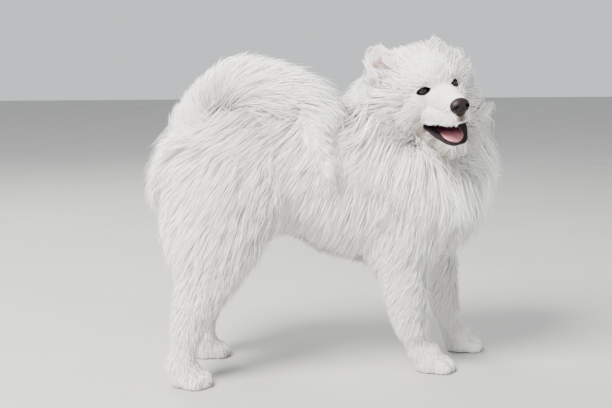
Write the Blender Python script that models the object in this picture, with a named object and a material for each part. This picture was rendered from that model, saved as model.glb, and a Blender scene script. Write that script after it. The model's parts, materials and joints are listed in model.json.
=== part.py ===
"""A life-size standing samoyed, as a museum model: one closed solid for each part of the body.

Metres, +X towards the dog's front, +Y to its left, +Z up, floor at z = 0.
The body is laid out as chains of balls. Each chain is hulled and the hulls are fused by a voxel remesh.
Flat tapered locks are rooted in that core and bend along the lie of the coat. The animal is then
parted into nodes by thin cuts.
"""

import math
import random
from collections import namedtuple

import bmesh
import bpy
from mathutils import Matrix, Vector
from mathutils.bvhtree import BVHTree

# Driving sizes
GAP = 0.0003  # between parts that touch
CORE_SHARE = 0.5  # how far up the coat the solid core reaches
BODY_VOXEL = 0.009
BODY_TRIANGLES = 1200
HEAD_VOXEL = 0.0028
HEAD_TRIANGLES = 1900
PAW_VOXEL = 0.0040
PAW_TRIANGLES = 170
TAIL_TRIANGLES = 240
SEED = 9

# The head's own frame: origin midway between the eyes, x to the nose, y to the dog's left, z up.
HEAD_ORIGIN = Vector((0.196, -0.150, 0.625))
HEAD_YAW = math.radians(-82)  # turned to the dog's right, from +X
HEAD_PITCH = math.radians(3)
HEAD_ROLL = math.radians(13)

# Moves the finished animal so that the middle of its box stands over the origin.
TO_ORIGIN = Vector((0.0101, 0.0294, 0.0))

# coat is how far the hair stands off the skin, and flow is its lie.
Ball = namedtuple("Ball", "centre radii coat flow")

TRUNK = [
    Ball((-0.240, 0, 0.430), (0.078, 0.075, 0.085), 0.088, (-0.5, 0, -1.0)),
    Ball((-0.140, 0, 0.450), (0.080, 0.078, 0.085), 0.052, (-0.6, 0, -1.0)),
    Ball((-0.050, 0, 0.445), (0.080, 0.085, 0.098), 0.055, (-0.5, 0, -1.0)),
    Ball((0.030, 0, 0.430), (0.090, 0.095, 0.122), 0.060, (-0.4, 0, -1.0)),
    Ball((0.110, 0, 0.420), (0.090, 0.100, 0.130), 0.060, (-0.3, 0, -1.0)),
    Ball((0.205, 0, 0.425), (0.075, 0.088, 0.095), 0.095, (0.0, 0, -1.0)),
]
NECK = [
    Ball((0.160, 0, 0.490), (0.090, 0.085, 0.085), 0.080, (-0.3, 0, -1.0)),
    Ball((0.185, -0.015, 0.560), (0.075, 0.065, 0.070), 0.080, (-0.2, 0.2, -1.0)),
    Ball((0.195, -0.035, 0.600), (0.062, 0.055, 0.040), 0.075, (-0.1, 0.6, -0.8)),
]
RUFF = [
    Ball((0.180, 0.010, 0.500), (0.070, 0.060, 0.070), 0.080, (0.1, 0.2, -1.0)),
    Ball((0.240, -0.025, 0.510), (0.055, 0.050, 0.055), 0.078, (0.2, 0.3, -1.0)),
]
FORELEG_RIGHT = [
    Ball((0.150, -0.068, 0.400), (0.060, 0.036, 0.075), 0.055, (-0.3, 0, -1.0)),
    Ball((0.133, -0.080, 0.290), (0.044, 0.032, 0.046), 0.030, (-0.6, 0, -1.0)),
    Ball((0.148, -0.083, 0.200), (0.034, 0.028, 0.030), 0.022, (-0.7, 0, -1.0)),
    Ball((0.158, -0.084, 0.120), (0.027, 0.025, 0.028), 0.015, (-0.6, 0, -1.0)),
    Ball((0.182, -0.081, 0.050), (0.026, 0.026, 0.024), 0.006, (0.2, 0, -1.0)),
]
FORELEG_LEFT = [
    Ball((0.185, 0.068, 0.400), (0.060, 0.036, 0.075), 0.055, (-0.3, 0, -1.0)),
    Ball((0.235, 0.076, 0.290), (0.044, 0.032, 0.046), 0.030, (-0.6, 0, -1.0)),
    Ball((0.270, 0.070, 0.200), (0.030, 0.026, 0.030), 0.018, (-0.7, 0, -1.0)),
    Ball((0.280, 0.067, 0.120), (0.026, 0.024, 0.028), 0.012, (-0.6, 0, -1.0)),
    Ball((0.298, 0.064, 0.050), (0.025, 0.026, 0.024), 0.006, (0.2, 0, -1.0)),
]
HINDLEG_RIGHT = [
    Ball((-0.235, -0.058, 0.420), (0.078, 0.040, 0.085), 0.070, (-0.5, 0, -1.0)),
    Ball((-0.262, -0.078, 0.315), (0.068, 0.036, 0.050), 0.048, (-0.4, 0, -1.0)),
    Ball((-0.275, -0.086, 0.235), (0.045, 0.030, 0.035), 0.030, (-0.4, 0, -1.0)),
    Ball((-0.318, -0.092, 0.150), (0.030, 0.022, 0.028), 0.014, (-0.3, 0, -1.0)),
    Ball((-0.338, -0.097, 0.055), (0.024, 0.024, 0.026), 0.008, (-0.1, 0, -1.0)),
]
HINDLEG_LEFT = [
    Ball((-0.235, 0.058, 0.420), (0.078, 0.040, 0.085), 0.070, (-0.5, 0, -1.0)),
    Ball((-0.235, 0.078, 0.315), (0.068, 0.036, 0.050), 0.048, (-0.4, 0, -1.0)),
    Ball((-0.240, 0.088, 0.235), (0.045, 0.030, 0.035), 0.030, (-0.4, 0, -1.0)),
    Ball((-0.275, 0.098, 0.150), (0.030, 0.022, 0.028), 0.014, (-0.3, 0, -1.0)),
    Ball((-0.283, 0.106, 0.055), (0.024, 0.024, 0.026), 0.008, (-0.1, 0, -1.0)),
]
TAIL = [
    Ball((-0.262, 0, 0.500), (0.034, 0.030, 0.032), 0.030, (-0.6, 0, 1.0)),
    Ball((-0.300, -0.003, 0.556), (0.022, 0.022, 0.022), 0.036, (-0.5, 0, 1.0)),
    Ball((-0.268, -0.010, 0.604), (0.022, 0.022, 0.022), 0.033, (0.2, 0, 1.0)),
    Ball((-0.205, -0.028, 0.620), (0.022, 0.024, 0.030), 0.046, (1.0, -0.1, 0.2)),
    Ball((-0.135, -0.055, 0.604), (0.018, 0.022, 0.032), 0.050, (1.0, -0.2, -0.3)),
    Ball((-0.070, -0.080, 0.585), (0.030, 0.012, 0.025), 0.050, (0.7, -0.4, -0.8)),
    Ball((-0.055, -0.130, 0.505), (0.014, 0.008, 0.014), 0.022, (0.4, -0.2, -1.0)),
    Ball((-0.035, -0.150, 0.450), (0.010, 0.006, 0.012), 0.014, (0.4, -0.1, -1.0)),
    Ball((-0.022, -0.156, 0.418), (0.004, 0.003, 0.004), 0.002, (0.4, -0.1, -1.0)),
]
TAIL_SPLIT = -0.170  # where the tail, bent over the back, is parted

# The head's chains lie in the head's frame. A pair has its right side mirrored from its left.
CRANIUM = [Ball((-0.062, 0, 0.002), (0.074, 0.064, 0.061), 0.042, (-1.0, 0, 0.3))]
TEMPLE = [
    Ball((-0.085, 0.048, -0.008), (0.040, 0.030, 0.040), 0.054, (-0.8, 0.6, 0.0)),
    Ball((-0.090, 0.050, -0.060), (0.035, 0.030, 0.035), 0.060, (-0.6, 0.6, -0.6)),
]
NAPE = [
    Ball((-0.075, 0, -0.010), (0.060, 0.052, 0.048), 0.036, (-1.0, 0, -0.3)),
    Ball((-0.125, 0, -0.035), (0.050, 0.056, 0.050), 0.060, (-1.0, 0, -0.8)),
]
BROW = [Ball((-0.020, 0.022, 0.016), (0.026, 0.024, 0.018), 0.028, (-1.0, 0, 0.3))]
CHEEK = [
    Ball((-0.034, 0.040, -0.024), (0.034, 0.020, 0.024), 0.024, (-1.0, 0.3, -0.3)),
    Ball((-0.072, 0.044, -0.044), (0.032, 0.026, 0.036), 0.050, (-0.8, 0.5, -0.6)),
]
MUZZLE = [
    Ball((0.000, 0, -0.024), (0.034, 0.034, 0.028), 0.012, (-1.0, 0, 0.0)),
    Ball((0.058, 0, -0.043), (0.020, 0.0235, 0.020), 0.006, (-1.0, 0, 0.0)),
]
UPPER_LIP = [
    Ball((0.054, 0.012, -0.062), (0.020, 0.0125, 0.018), 0.008, (-1.0, 0, -0.3)),
    Ball((-0.006, 0.033, -0.052), (0.026, 0.0130, 0.018), 0.014, (-1.0, 0, -0.3)),
]
LOWER_JAW = [
    Ball((-0.052, 0.036, -0.066), (0.026, 0.018, 0.024), 0.012, (-1.0, 0, -0.5)),
    Ball((0.018, 0.014, -0.123), (0.016, 0.014, 0.011), 0.024, (-1.0, 0, -0.5)),
]
THROAT = [
    Ball((-0.010, 0, -0.112), (0.020, 0.020, 0.016), 0.024, (-1.0, 0, -0.5)),
    Ball((-0.080, 0, -0.085), (0.045, 0.045, 0.040), 0.060, (-0.7, 0, -1.0)),
]
# The edges of both lips, from the corner of the mouth to the front
UPPER_RIM = [
    ((-0.016, 0.046, -0.063), 0.0045),
    ((0.030, 0.034, -0.071), 0.0050),
    ((0.068, 0.010, -0.077), 0.0050),
]
LOWER_RIM = [
    ((-0.016, 0.045, -0.073), 0.0045),
    ((0.008, 0.034, -0.095), 0.0050),
    ((0.026, 0.022, -0.111), 0.0050),
    ((0.034, 0.009, -0.118), 0.0048),
]

# Between the lips: the corner of the mouth, and the upper and lower edges of its open front
MOUTH_CORNER = (-0.020, 0.060, -0.0685)
MOUTH_TOP = (0.125, 0.060, -0.0880)
MOUTH_BOTTOM = (0.085, 0.060, -0.1600)
MOUTH_EDGE = 0.0030
JAW_OUTLINE = [(-0.020, -0.0690), (0.150, -0.125), (0.150, -0.150), (-0.020, -0.150)]
JAW_HALF_WIDTH = 0.055

EYE_CENTRE = (-0.012, 0.0320, 0.000)
EYE_RADIUS = 0.0115
LID_RADIUS = 0.0150
LID_OPENING = (0.0138, 0.0066)  # half the width and half the height between the lids
LID_SLANT = math.radians(-8)  # the outer corner stands lower
LID_TURN = math.radians(24)  # how far each eye looks outwards
NOSE_CENTRE = (0.075, 0, -0.0405)
NOSE_RADII = (0.0150, 0.0212, 0.0165)
NOSTRIL_CENTRE = (0.087, 0.0095, -0.0415)
NOSTRIL_RADII = (0.0065, 0.0035, 0.0042)
TONGUE_ROOT = ((-0.016, 0, -0.083), (0.014, 0.0230, 0.0065))
TONGUE_TIP = ((0.021, 0, -0.1080), (0.017, 0.0225, 0.0060))

# Each ear: the middle of its root, its tip, and half its width
EARS = {
    "ear_right": ((-0.080, -0.068, 0.030), (-0.110, -0.088, 0.113)),
    "ear_left": ((-0.082, 0.066, 0.024), (-0.112, 0.072, 0.095)),
}
EAR_HALF_WIDTH = 0.029
EAR_CUP = 0.018
EAR_FACING = (0.90, 0.40)  # forwards, and outwards

# In the head's frame, where the long coat ends towards the face, and where the coat of the chest and of
# the neck's sides begins below it and beside it
FACE_LEAST = 0.25  # the share of the coat that the face keeps
FACE_FRONT = -0.034
FACE_BACK = -0.084
FACE_CHIN = -0.130
FACE_CHEST = -0.200
FACE_SIDE = 0.075
NECK_SIDE = 0.110

SOLE_SUNK = 0.004  # how much of the round pads is pressed flat
ANKLE = 0.052  # the height where the paws are parted from the legs
TOE_SPREAD = (-0.024, -0.0085, 0.0085, 0.024)
TOE_REACH = (0.026, 0.037, 0.037, 0.026)
PAWS = {
    "forepaw_right": ((0.205, -0.080, 0), -8),
    "forepaw_left": ((0.318, 0.063, 0), 4),
    "hindpaw_right": ((-0.330, -0.098, 0), -22),
    "hindpaw_left": ((-0.276, 0.107, 0), 12),
}

# Where the head is parted from the neck, in its own frame, and the neck from the torso, in the world's
HEAD_OUTLINE = [(-0.115, 0.020), (-0.060, -0.130), (0.3, -0.130), (0.3, 0.3), (-0.115, 0.3)]
NECK_OUTLINE = [(0.04, 0.60), (0.32, 0.36), (0.5, 0.36), (0.5, 1.0), (-0.05, 1.0)]

# Locks of the long coat
LEAST_HAIR = 0.014  # where the coat stands lower than this over the core it has no locks
LONG_HAIR = 0.042
HAIR_REACH = 0.090
LOCK_SPACING = (0.070, 0.053)  # where the hair is shortest, and where it is longest
LOCK_LENGTH = 0.115
LOCK_WIDTH = 0.072
LOCK_THICKNESS = 0.015
LOCK_LOOSE = 0.20  # how far a tip hangs free of the core's shape
# Along a lock: how far along, its share of the width, how high in the coat (or how deep it is sunk in the
# core), and its share of the thickness
LOCK_RINGS = ((0.0, 0.80, -0.014, 1.0), (0.34, 1.0, 0.62, 1.0), (0.70, 0.72, 1.0, 0.7), (1.0, 0.0, 1.05, 0.0))
TAIL_LOCK_SPACING = (0.053, 0.053)
TAIL_LOCK_LENGTH = 0.085
TAIL_LOCK_WIDTH = 0.046


def turn(yaw, pitch, roll):
    """Forward, left and up of a body turned by these angles, as the columns of a matrix."""
    forward = Vector((math.cos(yaw) * math.cos(pitch), math.sin(yaw) * math.cos(pitch), math.sin(pitch)))
    left = Vector((-math.sin(yaw), math.cos(yaw), 0))
    up = forward.cross(left)
    rolled_left = left * math.cos(roll) + up * math.sin(roll)
    rolled_up = up * math.cos(roll) - left * math.sin(roll)
    return Matrix((forward, rolled_left, rolled_up)).transposed().to_4x4()


HEAD = Matrix.Translation(HEAD_ORIGIN) @ turn(HEAD_YAW, HEAD_PITCH, HEAD_ROLL)
HEAD_INVERSE = HEAD.inverted()
WORLD = Matrix.Identity(4)


def mirrored(chain):
    """The chain on the other side of its frame's middle plane."""
    return [
        ball._replace(
            centre=(ball.centre[0], -ball.centre[1], ball.centre[2]),
            flow=(ball.flow[0], -ball.flow[1], ball.flow[2]),
        )
        for ball in chain
    ]


BODY_CHAINS = [TRUNK, NECK, RUFF, FORELEG_LEFT, FORELEG_RIGHT, HINDLEG_LEFT, HINDLEG_RIGHT]
HEAD_CHAINS = [CRANIUM, NAPE, MUZZLE, THROAT]
for pair in (TEMPLE, BROW, CHEEK, UPPER_LIP, LOWER_JAW):
    HEAD_CHAINS += [pair, mirrored(pair)]


def smoothstep(low, high, value):
    t = min(1.0, max(0.0, (value - low) / (high - low)))
    return t * t * (3 - 2 * t)


def clear_scene():
    for obj in list(bpy.data.objects):
        bpy.data.objects.remove(obj)


def new_object(name, bm):
    mesh = bpy.data.meshes.new(name)
    bm.to_mesh(mesh)
    bm.free()
    obj = bpy.data.objects.new(name, mesh)
    bpy.context.scene.collection.objects.link(obj)
    return obj


def hull(points):
    """The convex hull of the points, as an object."""
    bm = bmesh.new()
    for point in points:
        bm.verts.new(point)
    made = bmesh.ops.convex_hull(bm, input=bm.verts)
    unused = {part for key in ("geom_interior", "geom_unused") for part in made[key]}
    loose = [part for part in unused if isinstance(part, bmesh.types.BMVert)]
    bmesh.ops.delete(bm, geom=loose, context="VERTS")
    bmesh.ops.recalc_face_normals(bm, faces=bm.faces)
    return new_object("hull", bm)


def ball_points(centre, radii, frame=WORLD, steps=16):
    """Points spread over an ellipsoid whose axes are those of the frame."""
    points = [frame @ Vector((centre[0], centre[1], centre[2] + side * radii[2])) for side in (-1, 1)]
    for i in range(1, steps // 2):
        polar = 2 * math.pi * i / steps
        for j in range(steps):
            around = 2 * math.pi * j / steps
            offset = (math.sin(polar) * math.cos(around), math.sin(polar) * math.sin(around), math.cos(polar))
            points.append(frame @ Vector([c + r * o for c, r, o in zip(centre, radii, offset)]))
    return points


def ball(centre, radii, frame=WORLD, steps=16):
    return hull(ball_points(centre, radii, frame, steps))


def face_share(point):
    """The share of the coat that grows at a point: it dies away round the front of the head."""
    local = HEAD_INVERSE @ point
    behind = smoothstep(FACE_FRONT, FACE_BACK, local.x)
    below = smoothstep(FACE_CHIN, FACE_CHEST, local.z)
    beside = smoothstep(FACE_SIDE, NECK_SIDE, abs(local.y))
    return 1 - (1 - FACE_LEAST) * (1 - behind) * (1 - below) * (1 - beside)


def chain_hulls(chain, frame=WORLD, share=CORE_SHARE):
    """Hulls from each ball of the chain to the next, with a share of the coat on them."""
    clouds = []
    for link in chain:
        skin = ball_points(link.centre, link.radii, frame)
        coated = ball_points(link.centre, [r + share * link.coat for r in link.radii], frame)
        clouds.append([a.lerp(b, face_share(a)) for a, b in zip(skin, coated)])
    if len(clouds) == 1:
        return [hull(clouds[0])]
    return [hull(a + b) for a, b in zip(clouds, clouds[1:])]


def applied(obj):
    """The object with its modifiers made into its mesh."""
    graph = bpy.context.evaluated_depsgraph_get()
    mesh = bpy.data.meshes.new_from_object(obj.evaluated_get(graph))
    obj.modifiers.clear()
    obj.data = mesh
    return obj


def join(objects):
    bm = bmesh.new()
    for obj in objects:
        bm.from_mesh(obj.data)
        bpy.data.objects.remove(obj)
    return new_object("joined", bm)


def fuse(objects, voxel, smoothing, triangles):
    """The objects melted into one smooth closed mesh of about so many triangles."""
    obj = join(objects)
    remesh = obj.modifiers.new("melt", "REMESH")
    remesh.mode = "VOXEL"
    remesh.voxel_size = voxel
    smooth = obj.modifiers.new("smooth", "SMOOTH")
    smooth.factor = 0.5
    smooth.iterations = smoothing
    applied(obj)
    fewer = obj.modifiers.new("fewer", "DECIMATE")
    fewer.ratio = min(1.0, triangles / (2 * len(obj.data.polygons)))
    fewer.use_collapse_triangulate = True
    return applied(obj)


def boolean(obj, other, operation):
    """obj joined with, cut by or kept within one object, or all of a list, which are then removed."""
    others = other if isinstance(other, list) else [other]
    pieces = bpy.data.collections.new("pieces")
    bpy.context.scene.collection.children.link(pieces)
    for piece in others:
        pieces.objects.link(piece)
    modifier = obj.modifiers.new("boolean", "BOOLEAN")
    modifier.operation = operation
    modifier.operand_type = "COLLECTION"
    modifier.collection = pieces
    modifier.solver = "MANIFOLD"
    applied(obj)
    for piece in others:
        bpy.data.objects.remove(piece)
    bpy.data.collections.remove(pieces)
    return obj


def copy_of(obj):
    twin = bpy.data.objects.new(obj.name, obj.data.copy())
    bpy.context.scene.collection.objects.link(twin)
    return twin


def grown(obj, by=GAP):
    """A copy of the object with each face moved out, to cut a neighbour clear of it."""
    bm = bmesh.new()
    bm.from_mesh(obj.data)
    bm.normal_update()
    moves = [v.normal * by * min(2.0, v.calc_shell_factor()) for v in bm.verts]
    for vert, move in zip(bm.verts, moves):
        vert.co += move
    return new_object("grown", bm)


def surface_volume(island):
    faces = {face for vert in island for face in vert.link_faces}
    return sum(f.verts[0].co.dot(f.verts[1].co.cross(f.verts[2].co)) for f in faces)


def keep_largest(obj):
    """Drops every closed surface but the one of most volume."""
    bm = bmesh.new()
    bm.from_mesh(obj.data)
    bmesh.ops.triangulate(bm, faces=bm.faces)
    left = set(bm.verts)
    islands = []
    while left:
        front = [left.pop()]
        island = set(front)
        while front:
            near = {edge.other_vert(vert) for vert in front for edge in vert.link_edges} & left
            left -= near
            island |= near
            front = list(near)
        islands.append(island)
    islands.sort(key=surface_volume)
    scraps = [vert for island in islands[:-1] for vert in island]
    bmesh.ops.delete(bm, geom=scraps, context="VERTS")
    bm.to_mesh(obj.data)
    bm.free()
    return obj


def block(low, high, frame=WORLD):
    """A box between two corners of the frame."""
    sides = list(zip(low, high))
    return hull([frame @ Vector((x, y, z)) for x in sides[0] for y in sides[1] for z in sides[2]])


def prism(outline, axis, low, high, frame=WORLD):
    """A convex outline in two axes of the frame, swept along the third."""
    points = []
    for along in (low, high):
        for pair in outline:
            point = list(pair)
            point.insert(axis, along)
            points.append(frame @ Vector(point))
    return hull(points)


def part_off(rest, name, territory):
    """Cuts what lies in the territory from the rest, a gap apart, as an object of that name."""
    piece = copy_of(rest)
    wider = grown(territory)
    boolean(piece, territory, "INTERSECT")
    boolean(rest, wider, "DIFFERENCE")
    keep_largest(rest)
    piece.name = name
    return keep_largest(piece)


def rods(rim):
    """Hulls along the edge of a lip, on both sides of the mouth, and across its front."""
    sides = []
    for side in (-1, 1):
        places = [((place[0], side * place[1], place[2]), (size, size, size)) for place, size in rim]
        sides.append([ball_points(place, radii, HEAD, steps=8) for place, radii in places])
    lengths = [hull(a + b) for clouds in sides for a, b in zip(clouds, clouds[1:])]
    return lengths + [hull(sides[0][-1] + sides[1][-1])]


def head_core():
    hulls = rods(UPPER_RIM) + rods(LOWER_RIM)
    for chain in HEAD_CHAINS:
        hulls += chain_hulls(chain, HEAD)
    for side in (-1, 1):
        hulls.append(ball((EYE_CENTRE[0], side * EYE_CENTRE[1], EYE_CENTRE[2]), (LID_RADIUS,) * 3, HEAD))
    return fuse(hulls, HEAD_VOXEL, 4, HEAD_TRIANGLES)


def body_core():
    hulls = [h for chain in BODY_CHAINS for h in chain_hulls(chain)]
    return fuse(hulls, BODY_VOXEL, 6, BODY_TRIANGLES)


def paw(place, turned):
    """A paw of four toes with claws, on a flat sole."""
    frame = Matrix.Translation(place) @ Matrix.Rotation(math.radians(turned), 4, "Z")
    frame = frame @ Matrix.Translation((0, 0, -SOLE_SUNK))
    wrist = ball_points((-0.012, 0, 0.050), (0.028, 0.028, 0.022), frame)
    pad = ball_points((0.000, 0, 0.022), (0.031, 0.030, 0.024), frame)
    hulls = [hull(wrist + pad)]
    claws = []
    for across, reach in zip(TOE_SPREAD, TOE_REACH):
        knuckle = ball_points((0.0, across * 0.7, 0.028), (0.016, 0.011, 0.018), frame)
        hulls.append(hull(knuckle + ball_points((reach, across, 0.015), (0.013, 0.0112, 0.0150), frame)))
        root = ball_points((reach + 0.004, across, 0.013), (0.004, 0.003, 0.004), frame, steps=6)
        claws.append(hull(root + [frame @ Vector((reach + 0.021, across * 1.08, 0.0055))]))
    obj = fuse(hulls, PAW_VOXEL, 2, PAW_TRIANGLES)
    boolean(obj, claws, "UNION")
    boolean(obj, block((-0.1, -0.1, -0.1), (0.1, 0.1, 0.0), Matrix.Translation(place)), "DIFFERENCE")
    boolean(obj, block((-0.1, -0.1, ANKLE), (0.1, 0.1, 0.2), Matrix.Translation(place)), "DIFFERENCE")
    return keep_largest(obj)


def mouth_cutter():
    points = []
    for place in (MOUTH_CORNER, MOUTH_TOP, MOUTH_BOTTOM):
        for side in (-1, 1):
            points += ball_points((place[0], side * place[1], place[2]), (MOUTH_EDGE,) * 3, HEAD, steps=8)
    return hull(points)


def lid_cutter(side):
    """An almond through the lids, from the ball of the eye outwards."""
    centre = Vector((EYE_CENTRE[0], side * EYE_CENTRE[1], EYE_CENTRE[2]))
    outward = Vector((math.cos(LID_TURN), side * math.sin(LID_TURN), 0))
    across = Vector((-math.sin(LID_TURN), side * math.cos(LID_TURN), 0))
    across = across * math.cos(LID_SLANT) + Vector((0, 0, math.sin(LID_SLANT)))
    above = outward.cross(across) * side
    half_width, half_height = LID_OPENING
    points = []
    for i in range(12):
        angle = 2 * math.pi * i / 12
        width = half_width * math.cos(angle)
        height = half_height * math.sin(angle) * (1 - 0.35 * abs(math.cos(angle)))
        for out in (0.004, 0.030):
            points.append(HEAD @ (centre + across * width + above * height + outward * out))
    return hull(points)


def nose():
    along, aside, above = NOSTRIL_CENTRE
    pits = [ball((along, side * aside, above), NOSTRIL_RADII, HEAD, 8) for side in (-1, 1)]
    return keep_largest(boolean(ball(NOSE_CENTRE, NOSE_RADII, HEAD, 12), pits, "DIFFERENCE"))


def ear(root, tip, rows=6, columns=7):
    """A cupped ear with a rounded tip: a sheet bent round its long axis, thick below and thin at the rim."""
    root, tip = Vector(root), Vector(tip)
    side = 1 if root.y > 0 else -1
    along = (tip - root).normalized()
    facing = Vector((EAR_FACING[0], side * EAR_FACING[1], 0))
    facing = (facing - along * facing.dot(along)).normalized()
    across = along.cross(facing)
    bm = bmesh.new()
    sheet = {}
    for face in (1, -1):
        for i in range(rows):
            t = i / (rows - 1)
            width = EAR_HALF_WIDTH * math.sqrt(1 - 0.99 * t ** 2.2)
            for j in range(columns):
                s = 2 * j / (columns - 1) - 1
                thick = (0.008 * (1 - t) + 0.004) * (1 - 0.5 * s * s)
                cup = EAR_CUP * (1 - s * s) * (1 - 0.7 * t)
                place = root.lerp(tip, t) + across * width * s + facing * (face * thick / 2 - cup)
                sheet[face, i, j] = bm.verts.new(HEAD @ place)
    for i in range(rows - 1):
        for j in range(columns - 1):
            for face in (1, -1):
                a, b = sheet[face, i, j], sheet[face, i, j + 1]
                c, d = sheet[face, i + 1, j + 1], sheet[face, i + 1, j]
                bm.faces.new((a, b, c))
                bm.faces.new((a, c, d))
    rim = [(0, j) for j in range(columns)] + [(i, columns - 1) for i in range(1, rows)]
    rim += [(rows - 1, j) for j in range(columns - 2, -1, -1)] + [(i, 0) for i in range(rows - 2, 0, -1)]
    for (i, j), (k, l) in zip(rim, rim[1:] + rim[:1]):
        bm.faces.new((sheet[1, i, j], sheet[1, k, l], sheet[-1, k, l], sheet[-1, i, j]))
    bmesh.ops.recalc_face_normals(bm, faces=bm.faces)
    return new_object("ear", bm)


def coat_field():
    """Every ball of flesh in the world, for the depth and the lie of the coat between them."""
    field = []
    for chains, frame in ((BODY_CHAINS, WORLD), (HEAD_CHAINS, HEAD)):
        turned = frame.to_3x3()
        for chain in chains:
            for link in chain:
                flow = (turned @ Vector(link.flow)).normalized()
                field.append((frame @ Vector(link.centre), sum(link.radii) / 3, link.coat, flow))
    return field


def coat_at(point, field):
    """The coat's depth and lie at a point, from the nearest balls most of all."""
    depth, flow, total = 0.0, Vector((0, 0, 0)), 0.0
    for centre, radius, coat, lie in field:
        away = max(0.0, (point - centre).length - radius) + 0.01
        weight = away ** -4
        depth += weight * coat
        flow += weight * lie
        total += weight
    return depth / total * face_share(point), flow.normalized()


def tree_of(obj):
    bm = bmesh.new()
    bm.from_mesh(obj.data)
    tree = BVHTree.FromBMesh(bm)
    bm.free()
    return tree


def envelope(*chains_and_frames):
    """The outside of the whole coat, as hulls that overlap."""
    hulls = []
    for chains, frame in chains_and_frames:
        for chain in chains:
            hulls += chain_hulls(chain, frame, 1.0)
    whole = join(hulls)
    tree = tree_of(whole)
    bpy.data.objects.remove(whole)
    return tree


def hair_above(place, out, outside):
    """How far the coat reaches above a place on the core."""
    distance = outside.ray_cast(place + out * HAIR_REACH, -out, HAIR_REACH)[3]
    return HAIR_REACH - distance if distance is not None else 0.0


def spread_roots(obj, spacing, outside, rng, tries=9000):
    """Points over the surface, closer together under long hair, with the surface's direction there."""
    obj.data.calc_loop_triangles()
    spots = [vertex.co.copy() for vertex in obj.data.vertices]
    corners = [[spots[i] for i in triangle.vertices] for triangle in obj.data.loop_triangles]
    areas = [(b - a).cross(c - a).length for a, b, c in corners]
    roots = []
    for a, b, c in rng.choices(corners, weights=areas, k=tries):
        u, v = rng.random(), rng.random()
        if u + v > 1:
            u, v = 1 - u, 1 - v
        place = a + (b - a) * u + (c - a) * v
        out = (b - a).cross(c - a).normalized()
        hair = hair_above(place, out, outside)
        apart = spacing[0] + (spacing[1] - spacing[0]) * smoothstep(LEAST_HAIR, LONG_HAIR, hair)
        if hair > LEAST_HAIR and all((place - other).length > apart for other, _ in roots):
            roots.append((place, out))
    return roots


def lock(root, normal, flow, length, width, surface, outside):
    """A flat tapered lock that leaves the core, bends over and lies along it, out to the coat's depth."""
    most = hair_above(root, normal, outside)
    rings = []
    for t, share, lift, thick in LOCK_RINGS:
        free = root + flow * length * t
        near, out, _, _ = surface.find_nearest(free)
        height = lift * min(hair_above(near, out, outside), 1.4 * most) if lift > 0 else lift
        follow = near + out * height
        hang = free + normal * height
        centre = follow.lerp(hang, LOCK_LOOSE * t)
        out = out.lerp(normal, 0.5).normalized()
        rings.append((centre, out, width * share / 2, LOCK_THICKNESS * thick / 2))
    bm = bmesh.new()
    loops = []
    for (centre, out, half, thick), (after, _, _, _) in zip(rings, rings[1:]):
        along = (after - centre).normalized()
        across = along.cross(out).normalized()
        up = across.cross(along)
        corners = (across * half, up * thick, across * -half, up * -thick)
        loops.append([bm.verts.new(centre + corner) for corner in corners])
    tip = bm.verts.new(rings[-1][0])
    bm.faces.new(loops[0])
    for here, after in zip(loops, loops[1:]):
        for i in range(4):
            a, b, c, d = here[i], here[(i + 1) % 4], after[(i + 1) % 4], after[i]
            bm.faces.new((a, b, c))
            bm.faces.new((a, c, d))
    for i in range(4):
        bm.faces.new((loops[-1][i], loops[-1][(i + 1) % 4], tip))
    bmesh.ops.triangulate(bm, faces=bm.faces)
    bmesh.ops.recalc_face_normals(bm, faces=bm.faces)
    return new_object("lock", bm)


def body_locks(core, outside, tail_tree, rng):
    """Locks of the ruff, chest, flanks, rump and breeches."""
    field, surface = coat_field(), tree_of(core)
    made = []
    for root, normal in spread_roots(core, LOCK_SPACING, outside, rng):
        depth, flow = coat_at(root, field)
        local = HEAD_INVERSE @ root
        under_chin = local.x > -0.055 and abs(local.y) < 0.07 and -0.17 < local.z < -0.05
        between_legs = root.z < 0.34 and normal.y * root.y < 0 or root.z < 0.26
        under_tail = tail_tree.find_nearest(root + normal * 0.02)[3] < 0.022
        if between_legs or under_tail or under_chin:
            continue
        flow = flow + Vector((rng.uniform(-0.15, 0.15), rng.uniform(-0.15, 0.15), 0))
        flow = flow - normal * flow.dot(normal) * 0.8 + normal * 0.10
        if flow.length < 0.3:
            flow = normal + Vector((0, 0, -0.6))
        length = LOCK_LENGTH * rng.uniform(0.85, 1.15) * min(1.1, 0.5 + depth / 0.14)
        width = LOCK_WIDTH * rng.uniform(0.85, 1.1)
        end = root + flow.normalized() * length
        if tail_tree.find_nearest(end)[3] < 0.022 or surface.find_nearest(end)[3] > 0.055:
            continue
        made.append(lock(root, normal, flow.normalized(), length, width, surface, outside))
    return made


def tail_locks(core, outside, rng):
    """Locks that fan out from the tail, back over its root and forwards and down along the plume."""
    surface = tree_of(core)
    made = []
    for root, normal in spread_roots(core, TAIL_LOCK_SPACING, outside, rng):
        link = min(TAIL, key=lambda one: (Vector(one.centre) - root).length)
        if link.coat < 0.02:
            continue
        flow = (Vector(link.flow).normalized() + normal * 0.15).normalized()
        length = TAIL_LOCK_LENGTH * rng.uniform(0.8, 1.15) * min(1.0, 0.35 + link.coat / 0.06)
        width = TAIL_LOCK_WIDTH * rng.uniform(0.85, 1.1)
        made.append(lock(root, normal, flow, length, width, surface, outside))
    return made


def paint(obj, colour, roughness):
    material = bpy.data.materials.new(obj.name)
    material.use_nodes = True
    shader = material.node_tree.nodes["Principled BSDF"]
    shader.inputs["Base Color"].default_value = (*colour, 1.0)
    shader.inputs["Roughness"].default_value = roughness
    obj.data.materials.clear()
    obj.data.materials.append(material)


WHITE_COAT = (0.86, 0.84, 0.80)
DARK_EYE = (0.035, 0.020, 0.015)
DARK_NOSE = (0.060, 0.040, 0.040)
PINK_TONGUE = (0.750, 0.360, 0.380)


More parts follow.
